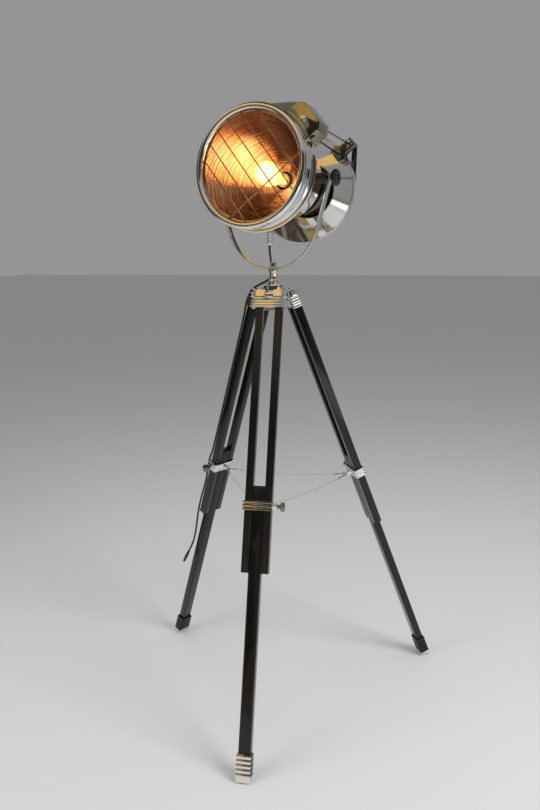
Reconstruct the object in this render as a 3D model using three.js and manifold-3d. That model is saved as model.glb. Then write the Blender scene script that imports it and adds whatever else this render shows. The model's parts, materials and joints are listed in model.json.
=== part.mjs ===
// Tripod spotlight floor lamp: a polished searchlight head in a U-shaped yoke on a black wooden tripod.
// Millimetres, +Z up. The head faces -Y and tilts about X. The origin is the centre of the footprint on the floor.
import * as THREE from 'three';
import { mergeVertices } from 'three/addons/utils/BufferGeometryUtils.js';
import { ConvexGeometry } from 'three/addons/geometries/ConvexGeometry.js';
import Module from 'manifold-3d';

const wasm = await Module();
wasm.setup();

// Fits shared by all pieces
const seatGap = 0.3;
const runningGap = 0.35;
const cutOverrun = 2;
const weldTolerance = 0.0005;
const floorLevel = 0;
const degrees = Math.PI / 180;

// Facets round a circle
const wideFacets = 28;
const rollFacets = 4;
const middleFacets = 16;
const smallFacets = 8;
const cornerSteps = 1;
const arcSteps = 6;

// Tripod stance
const footRadius = 471.5;
const hingeRadius = 45;
const hingeHeight = 1161;
const legAngles = { front: -76 * degrees, right: 44 * degrees, left: 164 * degrees };

// Hub
const hubRadius = 30.5;
const hubPlateHeight = 12;
const hubCrownHeight = 5;
const hubSkirtHeight = 9;
const earWidth = 20;
const earHeight = 26;
const earDrop = 1;
const hubPlateBase = hingeHeight + earHeight / 2 - earDrop;
const hubTop = hubPlateBase + hubPlateHeight + hubCrownHeight;

// Swivel post, stud and finial
const postFootRadius = 15;
const postWaistRadius = 11;
const postHeadRadius = 13.5;
const postCollarHeight = 6;
const postHeight = 38;
const studRadius = 5;
const finialRadius = 8.5;
const finialHeight = 18;
const finialShoulderShare = 0.85;
const finialBoreShare = 0.7;
const washerRadius = 12;
const washerHeight = 2.5;

// Wooden legs
const railWidth = 19.2;
const railDepth = 23;
const railGap = 33;
const railEndDistance = 730;
const railCornerRadius = 2;
const railBeadDepth = 1.6;
const lowerLegWidth = 32;
const lowerLegDepth = 22;
const lowerLegTopDistance = 508;
const lowerLegChamfer = 2;
const fluteWidth = 17;
const fluteDepth = 2.5;
const fluteTopDistance = 669;
const fluteEndDistance = 920;

// Leg brackets and their hinge bolts
const bracketTopReach = 12;
const bracketBottomReach = 37;
const bracketDepth = 27;
const bracketPocketTop = 8;
const bracketWall = 2.4;
const bracketWebHeight = 4;
const bracketWidth = 2 * railWidth + railGap + 3;
const bracketRibHeight = 4;
const bracketRibPitch = 7.4;
const bracketRibDepth = 1.3;
const bracketRibCount = 5;
const hingeBoltRadius = 4;
const boltHeadRadius = 8;
const boltHeadHeight = 5;
const boltCrownShare = 0.7;

// Clamp bands round the rails
const clampDistance = 559;
const clampHeight = 24;
const clampWall = 2.2;
const clampRidgeHeight = 4.8;
const clampRidgeDepth = 1.6;
const clampRidgeCount = 3;
const clampCornerRadius = 3;
const clampBossRadius = 8;
const clampBossLength = 10;
const clampStudRadius = 3;
const clampStudEngagement = 8;
const clampKnobRadius = 12;
const clampKnobThickness = 8;
const clampKnobNeckRadius = 5.5;
const clampKnobNeckLength = 9;
const clampKnobFaceShare = 0.8;
const hookLugWidth = 9;
const hookLugHeight = 10;
const hookLugReach = 11;
const hookLugHole = 2.4;

// Spreader chains between the clamps
const chainRadius = 1.4;
const chainSagShare = 0.03;
const chainMeetingGap = 0.6;
const chainHookSpread = 3.2;
const chainSides = 6;
const chainSteps = 8;

// Foot shoes
const shoeHeight = 67;
const shoeWall = 1.8;
const shoeRibDepth = 1.2;
const shoeRibCount = 5;
const shoeGroundGap = 5;
const footPinRadius = 3;
const footPinSpread = 9;
const footPinEmbed = 6;

// Head placement
const pivotRise = 229.7;
const pivotDepth = 130;
const axisRise = 15;
const headTilt = 8 * degrees;
const fittingsRoll = 2 * Math.PI * rollFacets / wideFacets;

// Yoke
const yokeBottomRadius = 135;
const yokeFlare = 17 * degrees;
const yokeThickness = 3;
const yokeBandWidth = 20;
const yokeArmOverrun = 14;
const yokeArcSteps = 20;
const yokeFlatHalf = 13.5;
const yokeBase = hubTop + postHeight + seatGap;
const pivotHeight = yokeBase + pivotRise;
const yokeArcCentre = yokeBase + yokeThickness / 2 + yokeBottomRadius;
const yokeTangent = Math.PI / 2 - yokeFlare;
const yokeTangentX = yokeBottomRadius * Math.sin(yokeTangent);
const yokeTangentZ = yokeArcCentre - yokeBottomRadius * Math.cos(yokeTangent);
const yokeHalfSpan = yokeTangentX + (pivotHeight - yokeTangentZ) * Math.tan(yokeFlare);

// Bezel and drum
const bezelRadius = 157;
const bezelOpening = 138.5;
const bezelLength = 26;
const bezelFaceDepth = 10;
const bezelEdge = 4;
const bezelCrown = 3;
const bezelWall = 2.5;
const drumRadius = 150;
const drumWall = 1.2;
const drumLength = 68;
const lipPosition = 64;
const lipHalfLength = 4;
const lipRadius = 158;
const lipCrownShare = 0.7;
const domeEnd = 312;
const domeNeckRadius = 74;
const domePower = 1.12;
const domeSteps = 6;

// Rear neck, between the dome and the disc
const neckRadius = 67;
const neckFlangeRadius = 77;
const neckLength = 30;
const neckFlangeThickness = 5;
const neckSpigotLength = 8;
const neckWall = 2;
const neckCableHole = 4.5;

// Grille
const grilleRingWidth = 5;
const grilleRingThickness = 3;
const grilleBarRadius = 1.7;
const grillePitch = 37;
const grilleRowShares = [-2.5, -1.5, -0.5, 0.5, 1.5, 2.5];
const grilleCrossOffset = 63;
const grilleBarFacets = 6;

// Reflector, lamp holder and bulb
const reflectorRadius = 134;
const reflectorWall = 1.2;
const reflectorVertex = 212;
const reflectorHole = 24;
const reflectorSteps = 5;
const reflectorFlange = 1.5;
const holderRadius = 19;
const holderFront = 200;
const holderCupLength = 42;
const holderBoreDepth = 34;
const stemRadius = 8;
const capRadius = 13.2;
const capLength = 26;
const capTipRadius = 5;
const capTipLength = 3;
const bulbRadius = 32;
const bulbNeckRadius = 12.5;
const bulbLength = 138;
const bulbShoulderShare = 0.66;
const bulbWall = 0.9;
const bulbSteps = 4;
const filamentRuns = 6;
const filamentRadius = 0.55;
const filamentCage = 9;
const filamentTopShare = 0.78;
const filamentFootShare = 0.3;
const filamentSteps = 42;
const filamentSides = 4;

// Cable gland under the drum
const glandDepth = 135;
const glandReach = 183;
const glandLength = 34;
const glandRadius = 9;
const glandNeckRadius = 6.5;
const glandBore = 3.6;
const glandRibCount = 4;
const glandBoreDepth = 20;

// Tilt spacers and knobs
const spacerRadius = 13;
const tiltStudRadius = 4;
const tiltStudEngagement = 8;
const tiltKnobRadius = 21;
const tiltKnobThickness = 13;
const tiltKnobEdge = 3;
const tiltKnobRecess = 8;
const tiltKnobRecessDepth = 3;
const tiltKnobScrew = 3.5;

// Condenser box on the drum
const boxFront = bezelLength + seatGap;
const boxRear = 92;
const boxHalfWidth = 45;
const boxRise = 50;
const boxHeight = drumRadius + boxRise;
const boxShoulderDrop = 16;
const boxShoulder = boxHeight - boxShoulderDrop;
const boxCrownHalfWidth = 30;
const boxFootDepth = 32;
const boxFoot = drumRadius - boxFootDepth;
const boxWingReach = 134;
const boxWingDrop = 88;
const boxWingElbow = 100;
const boxWingElbowDrop = 45.4;
const boxWall = 1.6;
const boxVentRadius = 9;
const boxVentDepth = 10;
const boxVentOffset = 34;
const boxScrewRadius = 8;
const boxScrewHeight = 7;
const boxScrewDrop = 26;
const boxScrewFacets = 14;
const boxScrewStepShares = [0.5, 0.75, 0.85];

// Rods, rear bracket and disc
const rodRadius = 2.6;
const rodUpper = { frontOffset: 12, rearOffset: 4, frontDrop: 18, rearDrop: 18 };
const rodLower = { frontOffset: 18, rearOffset: -2, frontDrop: 46, rearDrop: 61 };
const discFace = domeEnd + neckLength;
const discRadius = 153;
const discPlate = 2;
const discRimProud = 7;
const discRimFront = discFace - discRimProud;
const discRimLength = 15;
const discRimWall = 3;
const rearBracketDepth = 28;
const rearBracketFront = discFace - rearBracketDepth;
const rearBracketHalfWidth = 25;
const rearBracketFoot = 19;
const rearBracketHead = 13;
const rearBracketOverlap = 26;
const rearBracketShoulderDepth = 8;
const rearBracketRise = 40;
const pinRise = 31;
const pinHeight = discRadius + pinRise;
const pinRadius = 3;
const pinBallRadius = 5;
const pinOffset = -4;

// Hanging bar behind the disc
const barLength = 104;
const barWidth = 15;
const barThickness = 5;
const barBarrelRadius = 6.5;
const barBarrelLength = 12;
const barClearance = 3;
const barStart = discRimFront + discRimLength + barClearance;

// Cord
const cordRadius = 2.8;
const cordSides = 8;
const cordStepLength = 20;
const cordJointGap = 0.3;
const cordInsertion = 14;
const cordLead = 7;
// Points chosen by hand, from the gland to the yoke's foot and on to the hub, as x, y and height above the hub's top
const cordRoute = {
  yoke: [[-2, -14.5, 78], [-8, 0.5, 66.5], [-12.5, 11, 54], [-15.5, 16.5, 42], [-17, 18, 35]],
  hub: [[-18.5, 19, 24], [-21, 19, 12], [-29, 15, 5.5]],
};
// Points on the left leg: how far they stand out from its middle plane, across it, and down it
const cordOnLeg = [
  [19, 6, -15], [21, 20, -3], [20.5, 29, 14], [19.5, 33, 36], [15.4, 35, 66], [14.8, 35, 120], [14.8, 34.5, 200],
  [14.8, 35, 300], [14.8, 34.5, 400], [14.8, 35, 480], [16.4, 34.5, 515], [20.2, 34, 540], [20.4, 33, 560],
  [20.2, 33, 578], [16.4, 33.5, 605], [14.8, 35, 640], [14.6, 38, 690], [14.6, 36, 740], [15.5, 29, 790],
  [16, 25, 835], [16.5, 27, 868], [18, 33.5, 895],
];
const plugRadius = 4.6;
const plugNeckRadius = 3.4;
const plugTaper = 7;
const plugLength = 42;

// Finishes
const finishes = {
  chrome: { color: 0xd8d8d6, roughness: 0.08, metalness: 1 },
  darkChrome: { color: 0x3c3a38, roughness: 0.15, metalness: 1 },
  mirror: { color: 0xf0d9c4, roughness: 0.05, metalness: 1 },
  blackWood: { color: 0x0c0c0d, roughness: 0.22, metalness: 0 },
  blackPlastic: { color: 0x121212, roughness: 0.4, metalness: 0 },
  brass: { color: 0xb08a46, roughness: 0.3, metalness: 1 },
  glass: { color: 0xffe6c0, roughness: 0.05, metalness: 0 },
  filament: { color: 0xffb060, roughness: 0.5, metalness: 0.4 },
  ceramic: { color: 0xe8e4da, roughness: 0.4, metalness: 0 },
  cord: { color: 0x0e0e0e, roughness: 0.6, metalness: 0 },
  wire: { color: 0xb0b0ae, roughness: 0.25, metalness: 1 },
};

// Closed-mesh helpers

function weld(geometry) {
  const bare = geometry.clone();
  for (const name of Object.keys(bare.attributes)) if (name !== 'position') bare.deleteAttribute(name);
  const merged = mergeVertices(bare, weldTolerance);
  const corners = merged.index.array;
  const kept = [];
  for (let i = 0; i < corners.length; i += 3) {
    const [a, b, c] = [corners[i], corners[i + 1], corners[i + 2]];
    if (a !== b && b !== c && c !== a) kept.push(a, b, c);
  }
  merged.setIndex(kept);
  return merged;
}

function signedVolume(geometry) {
  const place = geometry.attributes.position;
  const corners = geometry.index.array;
  const [a, b, c] = [new THREE.Vector3(), new THREE.Vector3(), new THREE.Vector3()];
  let volume = 0;
  for (let i = 0; i < corners.length; i += 3) {
    a.fromBufferAttribute(place, corners[i]);
    b.fromBufferAttribute(place, corners[i + 1]);
    c.fromBufferAttribute(place, corners[i + 2]);
    volume += a.dot(b.cross(c));
  }
  return volume;
}

function outward(geometry) {
  const closed = weld(geometry);
  if (signedVolume(closed) < 0) closed.setIndex(Array.from(closed.index.array).reverse());
  return closed;
}

function toManifold(geometry) {
  const closed = outward(geometry);
  return new wasm.Manifold(new wasm.Mesh({
    numProp: 3,
    vertProperties: new Float32Array(closed.attributes.position.array),
    triVerts: new Uint32Array(closed.index.array),
  }));
}

function toGeometry(manifold) {
  const mesh = manifold.getMesh();
  const geometry = new THREE.BufferGeometry();
  geometry.setAttribute('position', new THREE.BufferAttribute(new Float32Array(mesh.vertProperties), 3));
  geometry.setIndex(Array.from(mesh.triVerts));
  return geometry;
}

function join(...geometries) {
  return toGeometry(geometries.map(toManifold).reduce((whole, piece) => whole.add(piece)));
}

function cut(geometry, ...tools) {
  return toGeometry(tools.map(toManifold).reduce((whole, tool) => whole.subtract(tool), toManifold(geometry)));
}

function common(geometry, tool) {
  return toGeometry(toManifold(geometry).intersect(toManifold(tool)));
}

// A solid of revolution about Y from [radius, position] pairs; a profile off the axis closes on itself
function revolve(profile, facets) {
  const points = profile.map(([radius, position]) => new THREE.Vector2(radius, position));
  const onAxis = points[0].x === 0 && points[points.length - 1].x === 0;
  if (!onAxis) points.push(points[0].clone());
  return outward(new THREE.LatheGeometry(points, facets));
}

// The same solid with its axis turned from Y to X or Z
const alongX = (geometry) => geometry.clone().rotateZ(-Math.PI / 2);
const alongZ = (geometry) => geometry.clone().rotateX(Math.PI / 2);

function rod(radius, start, end, facets) {
  const from = new THREE.Vector3(...start);
  const to = new THREE.Vector3(...end);
  const run = to.clone().sub(from);
  const geometry = new THREE.CylinderGeometry(radius, radius, run.length(), facets);
  const turn = new THREE.Quaternion().setFromUnitVectors(new THREE.Vector3(0, 1, 0), run.clone().normalize());
  geometry.applyQuaternion(turn);
  geometry.translate(...from.add(to).multiplyScalar(1 / 2).toArray());
  return geometry;
}

function block(size, centre) {
  return new THREE.BoxGeometry(...size).translate(...centre);
}

function prism(outline, length, steps = cornerSteps) {
  return new THREE.ExtrudeGeometry(outline, { depth: length, bevelEnabled: false, curveSegments: steps });
}

function outlineOf(points) {
  return new THREE.Shape(points.map(([x, y]) => new THREE.Vector2(x, y)));
}

function roundedRectangle(width, height, radius) {
  const [x, y] = [width / 2, height / 2];
  const outline = new THREE.Shape();
  outline.moveTo(-x + radius, -y);
  outline.lineTo(x - radius, -y);
  outline.absarc(x - radius, -y + radius, radius, -Math.PI / 2, 0);
  outline.lineTo(x, y - radius);
  outline.absarc(x - radius, y - radius, radius, 0, Math.PI / 2);
  outline.lineTo(-x + radius, y);
  outline.absarc(-x + radius, y - radius, radius, Math.PI / 2, Math.PI);
  outline.lineTo(-x, -y + radius);
  outline.absarc(-x + radius, -y + radius, radius, Math.PI, 3 * Math.PI / 2);
  return outline;
}

function tube(points, radius, sides, steps) {
  const path = points.length === 2
    ? new THREE.LineCurve3(...points)
    : new THREE.CatmullRomCurve3(points, false, 'centripetal');
  const section = new THREE.Shape();
  for (let i = 0; i < sides; i += 1) {
    const turn = 2 * Math.PI * i / sides;
    const [x, y] = [radius * Math.cos(turn), radius * Math.sin(turn)];
    if (i === 0) section.moveTo(x, y);
    else section.lineTo(x, y);
  }
  section.closePath();
  return outward(new THREE.ExtrudeGeometry(section, { steps, extrudePath: path, curveSegments: 1 }));
}

function piece(parent, name, geometry, finish) {
  const material = new THREE.MeshStandardMaterial({ name: finish, ...finishes[finish] });
  const mesh = new THREE.Mesh(geometry, material);
  mesh.name = name;
  parent.add(mesh);
  return mesh;
}

// The bodies of the lamp, in nested groups
const lamp = new THREE.Group();
const frame = new THREE.Group();
const cords = new THREE.Group();
lamp.add(frame, cords);

const legLean = Math.atan2(footRadius - hingeRadius, hingeHeight);
const legLength = Math.hypot(footRadius - hingeRadius, hingeHeight);
const shoeTopDistance = legLength - shoeHeight;

// A leg's own frame: the hinge at the origin, -Z down the leg, +X away from the tripod, Y along the hinge
function legGroup(angle) {
  const turned = new THREE.Group();
  turned.rotation.z = angle;
  const leg = new THREE.Group();
  leg.position.set(hingeRadius, 0, hingeHeight);
  leg.rotation.y = -legLean;
  turned.add(leg);
  turned.updateMatrixWorld(true);
  return { turned, leg };
}

function fromLeg(leg, x, y, distance) {
  return new THREE.Vector3(x, y, -distance).applyMatrix4(leg.matrixWorld);
}

// Hub: a crowned plate over three ears that the leg brackets straddle
function makeHub() {
  const plate = alongZ(revolve([
    [0, 0],
    [hubRadius, 0],
    [hubRadius, hubPlateHeight],
    [hubRadius - hubCrownHeight, hubPlateHeight + hubCrownHeight],
    [0, hubPlateHeight + hubCrownHeight],
  ], middleFacets)).translate(0, 0, hubPlateBase);
  const skirt = alongZ(revolve([
    [0, 0],
    [postWaistRadius, 0],
    [postFootRadius, hubSkirtHeight],
    [postFootRadius, hubSkirtHeight + earHeight],
    [0, hubSkirtHeight + earHeight],
  ], middleFacets)).translate(0, 0, hubPlateBase - earHeight - hubSkirtHeight + cutOverrun);
  const earOuter = hingeRadius + earHeight / 2 - earDrop;
  const ears = Object.values(legAngles).map((angle) => {
    const outline = new THREE.Shape();
    outline.moveTo(0, -earHeight / 2);
    outline.lineTo(hingeRadius, -earHeight / 2);
    outline.absarc(hingeRadius, 0, earHeight / 2, -Math.PI / 2, Math.PI / 2);
    outline.lineTo(0, earHeight / 2);
    const ear = prism(outline, earWidth, arcSteps).rotateX(Math.PI / 2).translate(0, earWidth / 2, 0);
    const trimmed = common(ear, block([4 * earOuter, earWidth, earHeight], [0, 0, -earDrop]));
    const bored = cut(trimmed, rod(
      hingeBoltRadius + runningGap,
      [hingeRadius, -earWidth, 0],
      [hingeRadius, earWidth, 0],
      smallFacets,
    ));
    return bored.translate(0, 0, hingeHeight).rotateZ(angle);
  });
  return join(plate, skirt, ...ears);
}

piece(frame, 'hub_plate', makeHub(), 'chrome');

piece(frame, 'swivel_post', alongZ(revolve([
  [0, 0],
  [postFootRadius, 0],
  [postFootRadius, postCollarHeight],
  [postWaistRadius, postCollarHeight * 2],
  [postWaistRadius, postHeight - postCollarHeight * 2],
  [postHeadRadius, postHeight - postCollarHeight],
  [postHeadRadius, postHeight],
  [studRadius, postHeight],
  [studRadius, postHeight + yokeThickness + washerHeight + finialHeight / 2],
  [0, postHeight + yokeThickness + washerHeight + finialHeight / 2],
], middleFacets)).translate(0, 0, hubTop + seatGap / 2), 'chrome');

// Finial: a domed nut with a washer foot on the stud above the yoke
const finialBase = yokeBase + yokeThickness + seatGap;
piece(frame, 'finial_nut', alongZ(revolve([
  [studRadius + runningGap, 0],
  [washerRadius, 0],
  [washerRadius, washerHeight],
  [finialRadius, washerHeight],
  [finialRadius, washerHeight + finialHeight / 2],
  [finialRadius * Math.SQRT1_2, washerHeight + finialHeight * finialShoulderShare],
  [0, washerHeight + finialHeight],
  [0, washerHeight + finialHeight * finialBoreShare],
  [studRadius + runningGap, washerHeight + finialHeight * finialBoreShare],
].reverse(), middleFacets)).translate(0, 0, finialBase), 'chrome');

// Rails: a moulding with two beads and a groove on its outer and inner face
function railOutline() {
  const [x, y] = [railDepth / 2, railWidth / 2];
  const bead = railWidth / 4;
  const outline = new THREE.Shape();
  outline.moveTo(-x + railBeadDepth, -y);
  outline.lineTo(x - railBeadDepth, -y);
  outline.quadraticCurveTo(x + railBeadDepth, -bead, x - railBeadDepth, 0);
  outline.quadraticCurveTo(x + railBeadDepth, bead, x - railBeadDepth, y);
  outline.lineTo(-x + railBeadDepth, y);
  outline.lineTo(-x, y - railCornerRadius);
  outline.lineTo(-x, -y + railCornerRadius);
  return outline;
}

function makeRail(side) {
  const start = bracketPocketTop + seatGap;
  const rail = new THREE.ExtrudeGeometry(railOutline(), {
    depth: railEndDistance - start, bevelEnabled: false, curveSegments: arcSteps,
  });
  return rail.translate(0, side * (railGap + railWidth) / 2, -railEndDistance);
}

// Lower leg: a square-edged bar with a round-topped flute on its outer face
function makeLowerLeg() {
  const [x, y] = [lowerLegDepth / 2, lowerLegWidth / 2];
  const chamfer = lowerLegChamfer;
  const outline = outlineOf([
    [-x, -y + chamfer], [-x + chamfer, -y], [x - chamfer, -y], [x, -y + chamfer],
    [x, y - chamfer], [x - chamfer, y], [-x + chamfer, y], [-x, y - chamfer],
  ]);
  const end = shoeTopDistance + footPinEmbed * 2;
  const bar = prism(outline, end - lowerLegTopDistance).translate(0, 0, -end);
  const half = fluteWidth / 2;
  const flute = new THREE.Shape();
  flute.moveTo(-half, -fluteEndDistance);
  flute.lineTo(half, -fluteEndDistance);
  flute.lineTo(half, -fluteTopDistance - half);
  flute.absarc(0, -fluteTopDistance - half, half, 0, Math.PI);
  const tool = new THREE.ExtrudeGeometry(flute, { depth: fluteDepth + cutOverrun, bevelEnabled: false, curveSegments: arcSteps * 2 });
  tool.rotateX(Math.PI / 2).rotateZ(Math.PI / 2).translate(x + cutOverrun, 0, 0);
  tool.computeBoundingBox();
  tool.translate(x + cutOverrun - tool.boundingBox.max.x, 0, 0);
  return cut(bar, tool);
}

// Bracket: a ribbed cap over both rails, forked for the hub's ear
function makeBracket() {
  const height = bracketTopReach + bracketBottomReach;
  const body = prism(roundedRectangle(bracketDepth, bracketWidth, railCornerRadius), height)
    .translate(0, 0, -bracketBottomReach);
  const ribs = [];
  for (let i = 0; i < bracketRibCount; i += 1) {
    ribs.push(block(
      [bracketDepth + 2 * bracketRibDepth, bracketWidth + 2 * bracketRibDepth, bracketRibHeight],
      [0, 0, -bracketBottomReach + i * bracketRibPitch + bracketRibHeight / 2],
    ));
  }
  const fork = block(
    [bracketDepth * 2, earWidth + 2 * runningGap, height * 2],
    [0, 0, height - earHeight / 2 - cutOverrun * 2],
  );
  const bore = rod(hingeBoltRadius + runningGap, [0, -bracketWidth, 0], [0, bracketWidth, 0], smallFacets);
  const forkFloor = bracketBottomReach - bracketWebHeight - earHeight / 2 - cutOverrun * 2;
  const pockets = [-1, 1].map((side) => block(
    [railDepth + 2 * seatGap, railWidth + 2 * seatGap, bracketBottomReach - bracketPocketTop + cutOverrun],
    [0, side * (railGap + railWidth) / 2, -(bracketBottomReach + bracketPocketTop + cutOverrun) / 2],
  ));
  const hollow = block(
    [bracketDepth - 2 * bracketWall, railGap - 2 * bracketWall, forkFloor + cutOverrun],
    [0, 0, -bracketBottomReach + (forkFloor - cutOverrun) / 2],
  );
  return cut(join(body, ...ribs), fork, bore, hollow, ...pockets);
}

function makeHingeBolt() {
  const half = bracketWidth / 2 + bracketRibDepth + seatGap;
  return revolve([
    [0, -half - boltHeadHeight],
    [boltHeadRadius * boltCrownShare, -half - boltHeadHeight],
    [boltHeadRadius, -half - boltHeadHeight / 2],
    [boltHeadRadius, -half],
    [hingeBoltRadius, -half],
    [hingeBoltRadius, half],
    [boltHeadRadius, half],
    [boltHeadRadius, half + boltHeadHeight / 2],
    [boltHeadRadius * boltCrownShare, half + boltHeadHeight],
    [0, half + boltHeadHeight],
  ], smallFacets);
}

// Clamp band: a ridged sleeve with a screw boss at one end and a hook lug on its inner face
const clampInnerDepth = railDepth + 2 * runningGap + railBeadDepth;
const clampInnerWidth = 2 * railWidth + railGap + 2 * runningGap;
const clampOuterDepth = clampInnerDepth + 2 * (clampWall + clampRidgeDepth);
const clampOuterWidth = clampInnerWidth + 2 * (clampWall + clampRidgeDepth);

function makeClamp() {
  const sleeve = (wall, height, centre) => prism(
    roundedRectangle(clampInnerDepth + 2 * wall, clampInnerWidth + 2 * wall, clampCornerRadius),
    height,
  ).translate(0, 0, centre - height / 2);
  const ridges = [];
  const pitch = (clampHeight - clampRidgeHeight) / (clampRidgeCount - 1);
  for (let i = 0; i < clampRidgeCount; i += 1) {
    ridges.push(block(
      [clampOuterDepth, clampOuterWidth, clampRidgeHeight],
      [0, 0, (i - (clampRidgeCount - 1) / 2) * pitch],
    ));
  }
  const boss = rod(
    clampBossRadius,
    [0, clampInnerWidth / 2 + clampWall / 2, 0],
    [0, clampOuterWidth / 2 + clampBossLength, 0],
    smallFacets,
  );
  const lug = block(
    [hookLugReach + clampWall, hookLugWidth, hookLugHeight],
    [-clampOuterDepth / 2 - hookLugReach / 2 + clampWall / 2, 0, 0],
  );
  const lugBore = rod(
    hookLugHole,
    [-clampOuterDepth / 2 - hookLugReach / 2, 0, -hookLugHeight],
    [-clampOuterDepth / 2 - hookLugReach / 2, 0, hookLugHeight],
    smallFacets,
  );
  const inside = block([clampInnerDepth, clampInnerWidth, clampHeight * 2], [0, 0, 0]);
  const screwBore = rod(
    clampStudRadius + runningGap,
    [0, clampInnerWidth / 2 - cutOverrun, 0],
    [0, clampOuterWidth / 2 + clampBossLength + cutOverrun, 0],
    smallFacets,
  );
  const band = cut(join(sleeve(clampWall, clampHeight, 0), ...ridges, boss, lug), inside, lugBore, screwBore);
  return band.translate(0, 0, -clampDistance);
}

function makeClampKnob() {
  const seat = clampOuterWidth / 2 + clampBossLength + seatGap;
  const neckEndAt = seat + clampKnobNeckLength;
  return revolve([
    [0, seat - clampStudEngagement],
    [clampStudRadius, seat - clampStudEngagement],
    [clampStudRadius, seat],
    [clampKnobNeckRadius, seat],
    [clampKnobNeckRadius, neckEndAt - clampKnobNeckLength / 3],
    [clampKnobRadius, neckEndAt],
    [clampKnobRadius, neckEndAt + clampKnobThickness],
    [clampKnobRadius * clampKnobFaceShare, neckEndAt + clampKnobThickness + cutOverrun / 2],
    [0, neckEndAt + clampKnobThickness + cutOverrun / 2],
  ], smallFacets).translate(0, 0, -clampDistance);
}

// Shoe: a ridged plate box on the leg's end, cut level above the floor, standing on two pins
function makeShoe(leg) {
  const innerX = lowerLegDepth + 2 * seatGap;
  const innerY = lowerLegWidth + 2 * seatGap;
  const outerX = innerX + 2 * shoeWall;
  const outerY = innerY + 2 * shoeWall;
  const long = legLength + footRadius / 4 - shoeTopDistance;
  const box = block([outerX, outerY, long], [0, 0, -shoeTopDistance - long / 2]);
  const span = legLength - shoeTopDistance;
  const pitch = span / (shoeRibCount + 1);
  const ribs = [];
  for (let i = 0; i < shoeRibCount; i += 1) {
    ribs.push(block(
      [outerX + 2 * shoeRibDepth, outerY + 2 * shoeRibDepth, pitch / 2],
      [0, 0, -shoeTopDistance - (i + 0.5) * pitch],
    ));
  }
  const socketDepth = footPinEmbed * 2 + seatGap;
  const socket = block([innerX, innerY, 2 * socketDepth], [0, 0, -shoeTopDistance]);
  const shell = cut(join(box, ...ribs), socket);
  shell.applyMatrix4(leg.matrixWorld);
  const underfloor = block(
    [4 * footRadius, 4 * footRadius, footRadius],
    [0, 0, floorLevel + shoeGroundGap - footRadius / 2],
  );
  const levelled = cut(shell, underfloor);
  const pins = [-1, 1].map((side) => {
    const centre = fromLeg(leg, 0, side * footPinSpread, legLength);
    return rod(
      footPinRadius,
      [centre.x, centre.y, floorLevel],
      [centre.x, centre.y, floorLevel + shoeGroundGap + footPinEmbed],
      smallFacets,
    );
  });
  const whole = join(levelled, ...pins);
  return whole.applyMatrix4(leg.matrixWorld.clone().invert());
}

// Legs
const legs = {};
for (const [side, angle] of Object.entries(legAngles)) {
  const { turned, leg } = legGroup(angle);
  legs[side] = leg;
  frame.add(turned);
  piece(leg, `leg_${side}_rail_a`, makeRail(-1), 'blackWood');
  piece(leg, `leg_${side}_rail_b`, makeRail(1), 'blackWood');
  piece(leg, `leg_${side}_bracket`, makeBracket(), 'chrome');
  piece(leg, `leg_${side}_hinge_bolt`, makeHingeBolt(), 'chrome');
  piece(leg, `leg_${side}_clamp`, makeClamp(), 'chrome');
  piece(leg, `leg_${side}_clamp_knob`, makeClampKnob(), 'darkChrome');
  piece(leg, `leg_${side}_lower`, makeLowerLeg(), 'blackWood');
  piece(leg, `leg_${side}_shoe`, makeShoe(leg), 'chrome');
}

// Spreader chains: each leg carries half of the run to each of its neighbours
const hookX = -clampOuterDepth / 2 - hookLugReach - seatGap - chainRadius;

function makeHalfChain(side, other) {
  const turnward = Math.sign(Math.sin(legAngles[other] - legAngles[side]));
  const start = fromLeg(legs[side], hookX, turnward * chainHookSpread, clampDistance);
  const far = fromLeg(legs[other], hookX, -turnward * chainHookSpread, clampDistance);
  const span = far.clone().sub(start);
  const half = span.clone().multiplyScalar(1 / 2);
  const sag = span.length() * chainSagShare;
  const reach = 1 - chainMeetingGap / half.length();
  const points = [];
  for (let i = 0; i <= 4; i += 1) {
    const share = i / 4;
    const along = half.clone().multiplyScalar(share * reach);
    along.z -= sag * share * (2 - share);
    points.push(start.clone().add(along));
  }
  return tube(points, chainRadius, chainSides, chainSteps);
}

for (const [side, other] of [
  ['front', 'right'], ['right', 'front'], ['right', 'left'], ['left', 'right'], ['left', 'front'], ['front', 'left'],
]) {
  piece(frame, `chain_${side}_to_${other}`, makeHalfChain(side, other), 'wire');
}

// Yoke: a flat band bent to a round bottom with slightly splayed arms
function makeYoke() {
  const band = (offset) => {
    const points = [];
    const radius = yokeBottomRadius + offset;
    for (let i = 0; i <= yokeArcSteps; i += 1) {
      const turn = -yokeTangent + 2 * yokeTangent * i / yokeArcSteps;
      if (i * 2 === yokeArcSteps) {
        points.push([-yokeFlatHalf, yokeArcCentre - radius], [yokeFlatHalf, yokeArcCentre - radius]);
      } else {
        points.push([radius * Math.sin(turn), yokeArcCentre - radius * Math.cos(turn)]);
      }
    }
    const rise = pivotHeight + yokeArmOverrun - yokeTangentZ;
    const top = [yokeTangentX + rise * Math.tan(yokeFlare) + offset / Math.cos(yokeFlare), yokeTangentZ + rise];
    return [[-top[0], top[1]], ...points, top];
  };
  const outline = outlineOf([...band(yokeThickness / 2), ...band(-yokeThickness / 2).reverse()]);
  const strap = prism(outline, yokeBandWidth).rotateX(Math.PI / 2).translate(0, yokeBandWidth / 2, 0);
  const armHole = rod(
    tiltStudRadius + runningGap,
    [-yokeHalfSpan * 2, 0, pivotHeight],
    [yokeHalfSpan * 2, 0, pivotHeight],
    smallFacets,
  );
  const swivelHole = rod(
    studRadius + runningGap,
    [0, 0, yokeBase - cutOverrun],
    [0, 0, yokeBase + yokeThickness + cutOverrun],
    middleFacets,
  );
  return cut(strap, armHole, swivelHole);
}

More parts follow.
